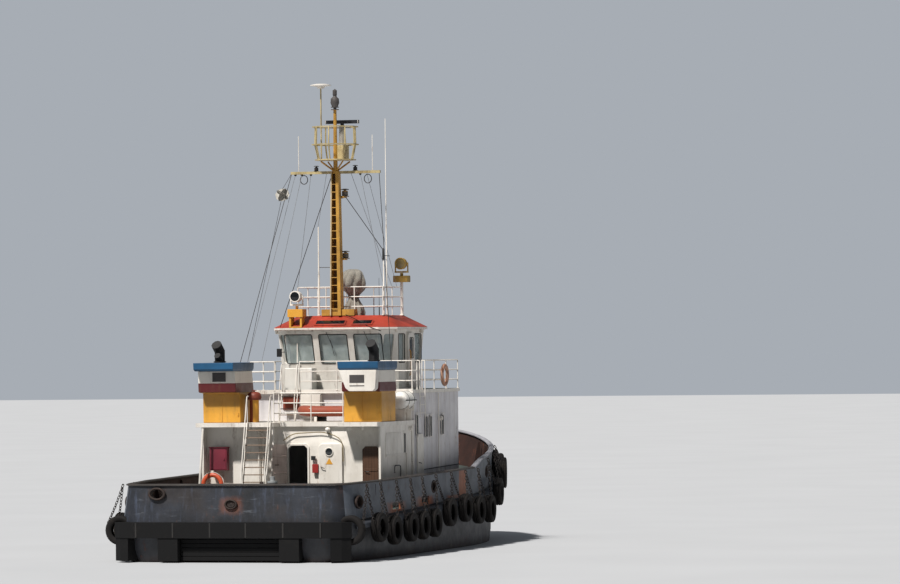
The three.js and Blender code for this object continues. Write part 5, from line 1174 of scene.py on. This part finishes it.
WINDOW_LOW, WINDOW_HIGH = 6.78, 7.83
END_WINDOWS = [(-1.33, 1.06), (0.0, 1.08), (1.33, 1.06)]
SIDE_WINDOWS = [(-0.46, 0.76), (1.56, 0.86)]


def end_x(z, end):
    """The outside of the leaning end wall at a height. End is -1 aft and 1 forward"""
    return (-1.35 if end < 0 else 2.4) + end * 0.43 * (z - 6.7) / 1.3


seals = []
for side in (-1, 1):
    for y, wide in END_WINDOWS:
        seals.append(rounded(y, wide, WINDOW_LOW, WINDOW_HIGH, 0.07,
                             lambda across, up: (end_x(up, side) + side * 0.002, across, up)))
for side in (-1, 1):
    for x, wide in SIDE_WINDOWS:
        seals.append(rounded(x, wide, WINDOW_LOW, WINDOW_HIGH, 0.07,
                             lambda across, up: (across, side * 2.252, up)))
finish(tubes("window_seals", seals, 0.018, 1, cyclic=True), seal_rubber, "fender_rubber")
wipers = []
for end in (-1, 1):
    for y in (0.23, -1.23):
        top, low = (end_x(7.93, end) + end * 0.03, y, 7.93), (end_x(7.35, end) + end * 0.02, y - 0.2, 7.35)
        wipers.append([top, low])
        wipers.append([(end_x(7.62, end) + end * 0.018, y - 0.13, 7.62),
                       (end_x(7.05, end) + end * 0.018, y - 0.22, 7.05)])
finish(tubes("wipers", wipers, 0.01, 1), dark_paint, "black_paint")
mirror = boxes("wheelhouse_mirror", [(-1.83, -1.8, 1.92, 2.12, 7.03, 7.33)], 0.01)
mirror_arm = tubes("mirror_arm", [[(-1.815, 1.95, 7.2), (-1.5, 1.9, 7.2)]], 0.012, 1)
finish(joined("wheelhouse_mirror", mirror, mirror_arm), dark_paint, "black_paint")
window_bar = boxes("aft_window_bars", [(-1.545, -1.5, 1.4, 1.44, 6.8, 7.85)], 0.006, 1)
finish(window_bar, white_paint, "white_paint")
seat = boxes("helm_seat", [(0.35, 0.85, -0.3, 0.3, 6.35, 6.5), (0.25, 0.4, -0.28, 0.28, 6.45, 7.15)], 0.05, 3)
seat_post = turned("seat_post", [(0.2, 0.005), (0.2, 0.03), (0.05, 0.05), (0.05, 0.56)],
                   (0.6, 0, BRIDGE_DECK), sides=20)
finish(joined("helm_seat", seat, seat_post), seal_rubber, "black_paint")
screens = boxes("helm_screens", [(1.6, 1.66, y - 0.22, y + 0.22, 6.84, 7.2) for y in (-0.9, -0.3, 0.3, 0.9)],
                0.012)
finish(screens, dark_paint, "black_paint")


# Wheelhouse roof: orange-red plate that slopes to a white gutter edge, with two skylights in its aft slope.
# Lamps hang under both side eaves, and a cable comes down over the aft edge.
red_paint = worn_paint("orange_red_enamel", "#b03d28", "#7f2a1d", rust="#5a2a1c", rust_amount=0.4,
                       grime="#56251c", streak_m=0.3, gloss=0.38)
roof = dressed("wheelhouse_roof", red_paint, BODY, "red_paint", edge=0.012)
repaint(roof, white_paint, lambda face: face.normal.z < -0.5
        or (face.center.z < 8.05 and abs(face.normal.z) < 0.3))
ROOF_TOP = 8.52
ROOF_SLOPE = math.atan2(0.43, 0.7)
SKYLIGHT_AT = Vector((-1.66, 0, 8.24))
SKYLIGHT_UP = Vector((-math.sin(ROOF_SLOPE), 0, math.cos(ROOF_SLOPE)))
skylights = []
for y, wide in ((0.085, 1.19), (-1.145, 0.81)):
    frame_box = boxes("skylight", [(-0.16, 0.16, -wide / 2, wide / 2, 0.0, 0.035),
                                   (-0.12, 0.12, -wide / 2 + 0.05, wide / 2 - 0.05, 0.03, 0.05)], 0.01)
    frame_box.matrix_world = (Matrix.Translation(SKYLIGHT_AT + Vector((0, y, 0)))
                              @ Matrix.Rotation(-ROOF_SLOPE, 4, "Y"))
    skylights.append(frame_box)
roof_lights = coat(joined("roof_skylights", *skylights), red_paint)
repaint(roof_lights, slot_glass, lambda face: (face.center - SKYLIGHT_AT).dot(SKYLIGHT_UP) > 0.045)
fit(roof_lights, BODY, "red_paint")
cable = tubes("roof_cable", [bent([(-1.36, -0.4, 8.55), (-1.6, -0.9, 8.36), (-1.86, -1.4, 8.12),
                                   (-1.935, -1.6, 8.05), (-1.83, -1.9, 7.94)], 0.2)], 0.014, 1)
finish(cable, seal_rubber, "black_paint")
eave_lamps = [turned("lamp", LAMP_RINGS, (x, y, 8.0), (0, 0, -1), 14) for x, y in
              ((-1.2, -2.31), (1.9, -2.31), (-1.2, 2.31), (1.9, 2.31))]
finish(joined("eave_lamps", *eave_lamps), white_paint, "white_plastic")


# Roof rail and aerials: pipe rail round the flat of the roof, three tapered aerials on their tubes, three
# small dark whips, and a white post with a yellow box for the starboard searchlight
railing("roof_rail_pipes", [[(0.4, -1.64), (1.61, -1.64), (1.61, 1.64), (-0.75, 1.64), (-0.75, -1.64),
                             (0.4, -1.64)]], ROOF_TOP, 1.3, "roof_rail")
aerials = []
AERIALS = [(-0.75, 0.82, 11.8, 0.038), (-0.62, -1.64, 10.8, 0.038), (-0.25, -1.64, 15.75, 0.026)]
for x, y, top, radius in AERIALS:
    high = top - ROOF_TOP
    rings = [(radius + 0.03, 0.001), (radius + 0.03, 0.04), (radius, 0.05), (radius, high * 0.45),
             (radius * 0.75, high * 0.45 + 0.03), (radius * 0.5, high - 0.02), (radius * 0.3, high)]
    aerials.append(turned("aerial", rings, (x, y, ROOF_TOP), sides=12))
LIGHT_AT = (1.61, -1.64, 0)
post = turned("light_post", [(0.1, 8.521), (0.1, 8.54), (0.055, 8.56), (0.055, 9.75)], LIGHT_AT, sides=16)
finish(joined("aerials_and_light_post", post, *aerials), white_paint, "white_paint", "roof_rail")
dull_yellow = worn_paint("dulled_yellow_enamel", "#bd9b4a", "#8f7232", rust="#5f4026", rust_amount=0.5,
                         grime="#4f4228", grime_amount=0.55, streak_m=0.1, gloss=0.5, patch_m=0.5)
light_box = boxes("searchlight_box_starboard", [(1.41, 1.81, -1.92, -1.36, 9.75, 9.99)], 0.02)
light_neck = turned("neck", [(0.06, 9.98), (0.06, 10.09)], LIGHT_AT, sides=16)
finish(joined("searchlight_box_starboard", light_box, light_neck), dull_yellow, "yellow_paint", "roof_rail")
spreader = tubes("aerial_spreader", [[(-0.62, -1.64, 10.7), (-0.05, -1.7, 10.7)],
                                     [(-0.75, 0.82, 10.3), (-0.75, 0.35, 10.3)]], 0.014, 1)
tips = turned("aerial_tip", [(0.045, 10.55), (0.045, 10.95), (0.02, 10.98)], (-0.62, -1.64, 0), sides=12)
finish(joined("aerial_fittings", spreader, tips), dark_paint, "black_paint")
for x, top in ((0.2, 9.9), (0.75, 10.3), (1.15, 9.7)):
    whip = turned("roof_whip_%d" % round(10 * x), [(0.02, 8.521), (0.02, 8.9), (0.01, 8.92), (0.006, top)],
                  (x, -1.2, 0), sides=8)
    finish(whip, dark_paint, "black_paint")


# Searchlights: drums in forked steel yokes that turn on their posts, each with a glass in a rim at its aft
# end. The port one is white and stands on a yellow bracket, and the starboard one is dull yellow.
lamp_glass = window_finish("searchlight_glass", "#101214", "#1d2022", 0.4)
brass_glass = window_finish("yellowed_lamp_glass", "#a3925f", "#6f6243", 0.4)
dressed("searchlight_bracket", yellow_paint, BODY, "yellow_paint", edge=0.01)
for hand, x, y, low, radius, length, paint, lens, slot in (
        ("port", -1.72, 1.36, 8.89, 0.2, 0.42, white_paint, lamp_glass, "white_paint"),
        ("starboard", 1.61, -1.64, 10.09, 0.21, 0.3, dull_yellow, brass_glass, "yellow_paint")):
    body = "searchlight_%s_body" % hand
    dressed("searchlight_" + hand, paint, body, slot, edge=0.008, angle=40)
    centre = low + 0.008 + 0.13 + radius
    back = x - length / 2
    rim = spun("rim", [(radius - 0.03, 0), (radius + 0.008, 0), (radius + 0.012, 0.02),
                       (radius - 0.005, 0.035), (radius - 0.03, 0.03)], 28)
    rim.matrix_world = facing((back + 0.004, y, centre), (-1, 0, 0))
    finish(joined("searchlight_rim_" + hand, rim), paint, slot, body=body)
    glass = turned("searchlight_glass_" + hand, [(radius - 0.028, 0.0), (radius - 0.028, 0.012),
                                                 (radius * 0.5, 0.022), (0.02, 0.026)],
                   (back + 0.002, y, centre), (-1, 0, 0), 28)
    finish(glass, lens, "window_glass", body=body)


# Canvas cover over the fire monitor on the roof: one cut of proofed cotton, thrown over, tied in at the waist
# with line and left to hang in deep folds below it. It was about 2.3 m square before it was hung.
canvas_cloth = faded_fabric("weathered_canvas", "#a8a296", "#6a655b", 18, 0.09)
COVER_AT = Vector((0.9, 0, ROOF_TOP + 0.002))
COVER_THICK = 0.008
COVER_SIDES = 96
cover_rings = [(0.35, 0.0), (0.35, 0.12), (0.33, 0.25), (0.29, 0.4), (0.22, 0.53), (0.165, 0.63), (0.15, 0.7),
               (0.17, 0.77), (0.25, 0.86), (0.35, 0.95), (0.43, 1.06), (0.46, 1.18), (0.46, 1.32),
               (0.43, 1.45), (0.38, 1.56), (0.3, 1.64), (0.2, 1.69), (0.1, 1.715), (0.04, 1.72)]
cover = turned("monitor_cover", cover_rings, sides=COVER_SIDES, smooth=60)
only(cover)
bpy.ops.object.mode_set(mode="EDIT")
bpy.ops.mesh.select_mode(type="FACE")
bpy.ops.mesh.select_all(action="DESELECT")
bpy.ops.object.mode_set(mode="OBJECT")
for face in cover.data.polygons:
    face.select = face.normal.z < -0.9 and face.center.z < 0.01
bpy.ops.object.mode_set(mode="EDIT")
bpy.ops.mesh.delete(type="FACE")
bpy.ops.mesh.select_mode(type="VERT")
bpy.ops.mesh.select_all(action="SELECT")
bpy.ops.mesh.subdivide(number_cuts=1)
bpy.ops.object.mode_set(mode="OBJECT")


def near(height, middle, reach):
    """1 at the middle height, falling evenly to 0 at a reach above and below it"""
    return max(0.0, 1 - abs(height - middle) / reach)


def crease(turn):
    """Round ridges with sharp valleys between them, from -1 to 1"""
    return 2 * abs(math.cos(turn / 2)) - 1


for corner in cover.data.vertices:
    angle = math.atan2(corner.co.y, corner.co.x)
    height, out = corner.co.z, math.hypot(corner.co.x, corner.co.y)
    skirt = 0.06 * near(height, 0.15, 0.55) * (crease(9 * angle + 2 * height)
                                               + 0.5 * crease(14 * angle - 3 * height))
    gathers = 0.025 * near(height, 0.72, 0.3) * crease(18 * angle + 4 * height)
    lumps = 0.075 * near(height, 1.15, 0.6) * (crease(4 * angle + 5 * height + 1)
                                               + 0.6 * crease(9 * angle - 8 * height))
    share = 1 + (skirt + gathers + lumps) / max(out, 0.12) * min(1.0, out / 0.12)
    corner.co.x = corner.co.x * share - 0.05 * near(height, 1.3, 0.6)
    corner.co.y = corner.co.y * share * (1 - 0.08 * near(height, 1.2, 0.6)) + 0.04 * near(height, 1.4, 0.5)
    corner.co.z += 0.06 * near(height, 1.55, 0.45) * crease(4 * angle + 0.6) * min(1.0, out / 0.3)
wall = cover.modifiers.new("wall", "SOLIDIFY")
wall.thickness = COVER_THICK
wall.offset = -1
only(cover)
bpy.ops.object.modifier_apply(modifier=wall.name)
cover.location = COVER_AT
finish(cover, canvas_cloth, "canvas", "covered_monitor")
tie_ways = []
for rise in (-0.03, 0.03):
    tie_ways.append([])
    for a in full_turn(60):
        out = 0.178 + 0.012 * math.sin(15 * a)
        height = 0.69 + rise + 0.012 * math.sin(3 * a)
        tie_ways[-1].append(COVER_AT + Vector((out * math.cos(a), out * math.sin(a), height)))
cover_tie = finish(tubes("monitor_cover_tie", tie_ways, 0.011, 1, cyclic=True), seal_rubber, "canvas")


# Signal mast: a yellow channel open aft with rungs in it, a crosstree with two upright whips, and wire stays.
# Halyards run from the arms to the bridge rail and the roof, and lamps stand on brackets on its fore side.
mast_paint = worn_paint("weathered_mast_enamel", "#c4933a", "#9a722c", rust="#5f4026", rust_amount=0.6,
                        grime="#4d3d26", grime_amount=0.65, streak_m=0.1, gloss=0.45, patch_m=0.8)
mast = dressed("mast", mast_paint, BODY, "yellow_paint", edge=0.005, segments=1)
channel_dark = worn_paint("shaded_channel_enamel", "#6e4a1d", "#52371a", rust_amount=0.6, grime="#2f2417",
                          gloss=0.6)
pale_flange = worn_paint("chalky_flange_enamel", "#c7b596", "#a08a63", rust="#6d4a2c", rust_amount=0.5,
                         grime="#6b5c46", streak_m=0.1, gloss=0.6, patch_m=0.6)
basket_paint = worn_paint("weathered_basket_enamel", "#bfae80", "#8c7b52", rust="#5f4026", rust_amount=0.55,
                          grime="#4f4330", grime_amount=0.6, streak_m=0.1, gloss=0.5, patch_m=0.5)
unit_grey = worn_paint("radar_unit_grey", "#a8a49a", "#85817a", rust_amount=0.3, grime="#4f4c48", gloss=0.5,
                       patch_m=0.4)


def on_channel(face):
    """Whether a face looks aft on the mast's channel"""
    return face.normal.x < -0.8 and 8.8 < face.center.z < 13.7


def on_wire(face):
    """Whether a face is on a stay or a footrope, clear of the channel"""
    out = abs(face.center.y)
    return face.center.z < 13.7 and (out > 1.6 or (face.center.x < -1.3 and out > 0.9))


repaint(mast, channel_dark, lambda face: on_channel(face) and face.center.x > -1.1
        and abs(face.center.y) < 0.2)
repaint(mast, pale_flange, lambda face: on_channel(face) and face.center.x < -1.25 and face.center.y > 0.08)
repaint(mast, basket_paint, lambda face: abs(face.center.y) > 0.2 and 13.66 < face.center.z < 13.9)
repaint(mast, chain_steel, on_wire)
repaint(mast, white_paint, lambda face: abs(face.center.y) > 1.38 and face.center.z > 13.83)
repaint(mast, louvre_paint, lambda face: face.center.z > 16.06)
CROSSTREE_X, CROSSTREE_Z = -1.15, 13.7
HALYARD_FEET = [(1.55, (-2.74, 2.93, 6.86)), (1.3, (-2.74, 2.39, 6.86)), (0.95, (-0.75, 1.64, 9.57)),
                (-0.95, (-0.6, -1.64, 9.57)), (0.35, (-0.75, 0.84, 11.75)), (-0.6, (0.4, -1.64, 9.57)),
                (-1.2, (1.0, -1.64, 9.57))]      # place across the crosstree, and where the line is made fast
halyards = [[(CROSSTREE_X, y, CROSSTREE_Z + 0.02), foot] for y, foot in HALYARD_FEET]
halyard_line = worn_paint("weathered_halyard_line", "#85878a", "#6b6d70", rust_amount=0.0, grime="#4c4d50",
                          gloss=0.6, patch_m=0.3)
finish(tubes("halyards", halyards, 0.008, 1), halyard_line, "white_plastic")
wires = [[(-1.2, 0.12, 13.7), (-1.58, 2.06, 8.1)], [(-0.83, -0.3, 12.84), (-0.62, -1.6, 10.95)]]
finish(tubes("mast_wires", wires, 0.014, 1), chain_steel, "bare_steel")
loops = []
for y in (1.22, -1.24):
    loops.append([(CROSSTREE_X, y + 0.14 * math.cos(a), CROSSTREE_Z - 0.18 + 0.16 * math.sin(a))
                  for a in full_turn(24)])
finish(tubes("crosstree_rings", loops, 0.016, 1, cyclic=True), chain_steel, "bare_steel")
pulleys = [turned("pulley", [(0.03, -0.02), (0.045, -0.01), (0.03, 0), (0.045, 0.01), (0.03, 0.02)],
                  (CROSSTREE_X, y, CROSSTREE_Z), (1, 0, 0), 12) for y in (1.55, 1.3, 0.95, -0.95)]
finish(joined("halyard_blocks", *pulleys), dark_paint, "black_paint")
REFLECTOR_AT = Vector((-1.4, 1.98, 12.98))
REFLECTOR_TURNS = [a + 0.3 for a in full_turn(8)]
plates = [cut_plate("plate", [(0.27 * math.cos(a), 0.27 * math.sin(a)) for a in REFLECTOR_TURNS], 0.006)
          for i in range(3)]
turns = [Matrix.Identity(4), Matrix.Rotation(math.pi / 2, 4, "X"), Matrix.Rotation(math.pi / 2, 4, "Y")]
for flat_plate, turn in zip(plates, turns):
    flat_plate.matrix_world = Matrix.Translation(REFLECTOR_AT) @ Matrix.Rotation(0.7, 4, (1, 1, 0)) @ turn
finish(joined("hanging_reflector", *plates), unit_grey, "bare_steel")
reflector_line = tubes("reflector_line", [[(-1.17, 1.7, 13.74), REFLECTOR_AT + Vector((0, 0, 0.2))],
                                          [REFLECTOR_AT, (-2.74, 2.93, 6.86)]], 0.008, 1)
finish(reflector_line, chain_steel, "bare_steel")
turnbuckles = [turned("turnbuckle", [(0.012, 0), (0.028, 0.04), (0.028, 0.3), (0.012, 0.34)],
                      (-4.52, 3.24 * side, 4.712), Vector((3.35, -1.56 * side, 9.06)), 10)
               for side in (1, -1)]
finish(joined("stay_turnbuckles", *turnbuckles), rusty_steel, "bare_steel")
NAV_LAMP = [(0.1, 0), (0.1, 0.02), (0.06, 0.025), (0.075, 0.04), (0.075, 0.13), (0.04, 0.15), (0.03, 0.175),
            (0.1, 0.18), (0.09, 0.2), (0.03, 0.21)]
lamp_metal = worn_paint("dull_lamp_metal", "#6d665c", "#48413a", rust_amount=0.5, grime="#2f2a26", gloss=0.5,
                        patch_m=0.2)
BIG_LAMP = [(1.5 * radius, 1.4 * height) for radius, height in NAV_LAMP]
for name, rings, places, paint in (
        ("mast_lamps_fore", BIG_LAMP, [(-0.83, -0.25, 10.605), (-0.83, -0.25, 12.885)], lamp_metal),
        ("mast_lamps", NAV_LAMP, [(-1.12, 0.75, 13.82), (-1.12, -0.75, 13.82)], dark_paint)):
    lamps = [turned("nav_lamp", rings, place, sides=18) for place in places]
    finish(joined(name, *lamps), paint, "black_paint")
cable_runs = [[(-0.95, 0.12, 8.76), (-1.0, 0.1, 13.7)], [(-0.95, 0.06, 8.76), (-1.0, 0.06, 13.7)],
              bent([(-0.95, 0.0, 8.76), (-0.97, 0.0, 12.8), (-0.85, -0.2, 12.84)], 0.1)]
finish(tubes("mast_cables", cable_runs, 0.012, 1), seal_rubber, "black_paint")


# Lookout basket: yellow pipe hoops on bent posts round a chequered floor, with the radar's turning unit
# forward. The radar scanner is a moulded bar that turns on it. A disc aerial stands on a slim pole.
basket = dressed("mast_basket", basket_paint, BODY, "yellow_paint", edge=0.006, segments=2)
repaint(basket, white_paint, lambda face: face.center.z > 16.86)
repaint(basket, unit_grey, lambda face: face.center.z > 14.95 and abs(face.center.y) < 0.3
        and face.center.x > -0.55)
scanner_paint = worn_paint("scanner_resin", "#24272d", "#191b20", rust_amount=0.0, grime="#3a3d42", gloss=0.3)
dressed("radar_scanner", scanner_paint, "radar_body", "black_paint", edge=0.03, segments=3)
scanner_ends = boxes("radar_scanner_ends", [(-0.365, -0.235, y - 0.015, y + 0.015, 15.588, 15.722)
                                            for y in (-0.62, 0.62)], 0.02)
finish(scanner_ends, white_paint, "white_plastic", body="radar_body")


# Towing winch on the foredeck: a cast drum between rusty side frames, with braided rope laid on it in turns.
# Steel bitts are welded to the deck ahead of it. A post on the aft deck carries the swinging tow hook.
winch_paint = worn_paint("grey_winch_enamel", "#8e9192", "#74787a", rust_amount=0.7, grime="#3e3b38",
                         gloss=0.5, bump=0.6)
dressed("winch_frame", winch_paint, BODY, "bare_steel", edge=0.01)
dressed("winch_drum", winch_paint, "winch_drum_body", "bare_steel", edge=0.008)
rope, tree, place = new_material("braided_polyester_rope")
strand = add(tree, "TexWave", {"Vector": place, "Scale": 9.0, "Distortion": 2.0, "Detail": 2.0}).outputs[0]
# Painted shade: the grooves between the strands, low in the wave that also gives the bump, are coloured
# darker
close_material(rope, {"Base Color": blend(tree, strand, "#8f8a7c", "#d0cbbb"), "Roughness": 0.85,
                      "Normal": relief(tree, strand, 0.6, 0.01)})
DRUM_AT, DRUM_HALF, DRUM_CORE = Vector((6.3, 0, 2.95)), 0.815, 0.262
TURN_R, TURNS = 0.026, 31
turn_outline = [(DRUM_CORE, -DRUM_HALF)]
for i in range(TURNS):
    middle = -DRUM_HALF + (2 * i + 1) * DRUM_HALF / TURNS
    for angle in (-1.2, -0.5, 0.2, 0.9):
        turn_outline.append((0.4 + TURN_R * math.cos(angle), middle + TURN_R * math.sin(angle)))
turn_outline.append((DRUM_CORE, DRUM_HALF))
rope_turns = spun("winch_rope_turns", turn_outline, 32, 60)
rope_turns.matrix_world = facing(DRUM_AT, (0, 1, 0))
finish(rope_turns, rope, "canvas", body="winch_drum_body")
dressed("bow_bitts", dark_paint, BODY, "black_paint", edge=0.012, angle=40)
dressed("tow_post", winch_paint, BODY, "bare_steel", edge=0.012, angle=40)
dressed("tow_hook", rusty_steel, "tow_hook_body", "bare_steel", edge=0.012)


# Deck hatches: a round one on the foredeck, with a domed steel lid on a coaming that is welded to the deck,
# and a low square one with a flat lid on the aft deck, to port.
hatch = turned("foredeck_hatch", [(0.42, 0), (0.42, 0.3), (0.45, 0.31), (0.45, 0.36), (0.3, 0.42),
                                  (0.1, 0.44)], (8.1, 0, sheer(8.1) - 0.02), sides=32)
finish(hatch, dark_paint, "hull_paint")
aft_hatch = boxes("aft_deck_hatch", [(-11.6, -10.7, 1.9, 2.8, sheer(-11.2) - 0.02, sheer(-11.2) + 0.16),
                                     (-11.65, -10.65, 1.85, 2.85, sheer(-11.2) + 0.16, sheer(-11.2) + 0.2)],
                  0.015)
finish(aft_hatch, winch_paint, "bare_steel")


# Thrusters and propellers under the stern: cast steel housings with nozzles, in bottom paint, that turn to
# steer. Cast bronze blades spin inside the nozzles.
bronze, tree, place = new_material("cast_bronze")
mottle = noise(tree, place, 6.0, 6.0)
close_material(bronze, {"Base Color": blend(tree, mottle, "#6d5330", "#a58348"), "Metallic": 0.9,
                        "Roughness": span(tree, mottle, 0.3, 0.7, 0.35, 0.6)})
for hand in ("port", "starboard"):
    dressed("thruster_" + hand, bottom_paint, "thruster_%s_body" % hand, "bottom_paint", edge=0.015, angle=40)
    dressed("propeller_" + hand, bronze, "propeller_%s_body" % hand, "bronze", edge=0.008, angle=40)
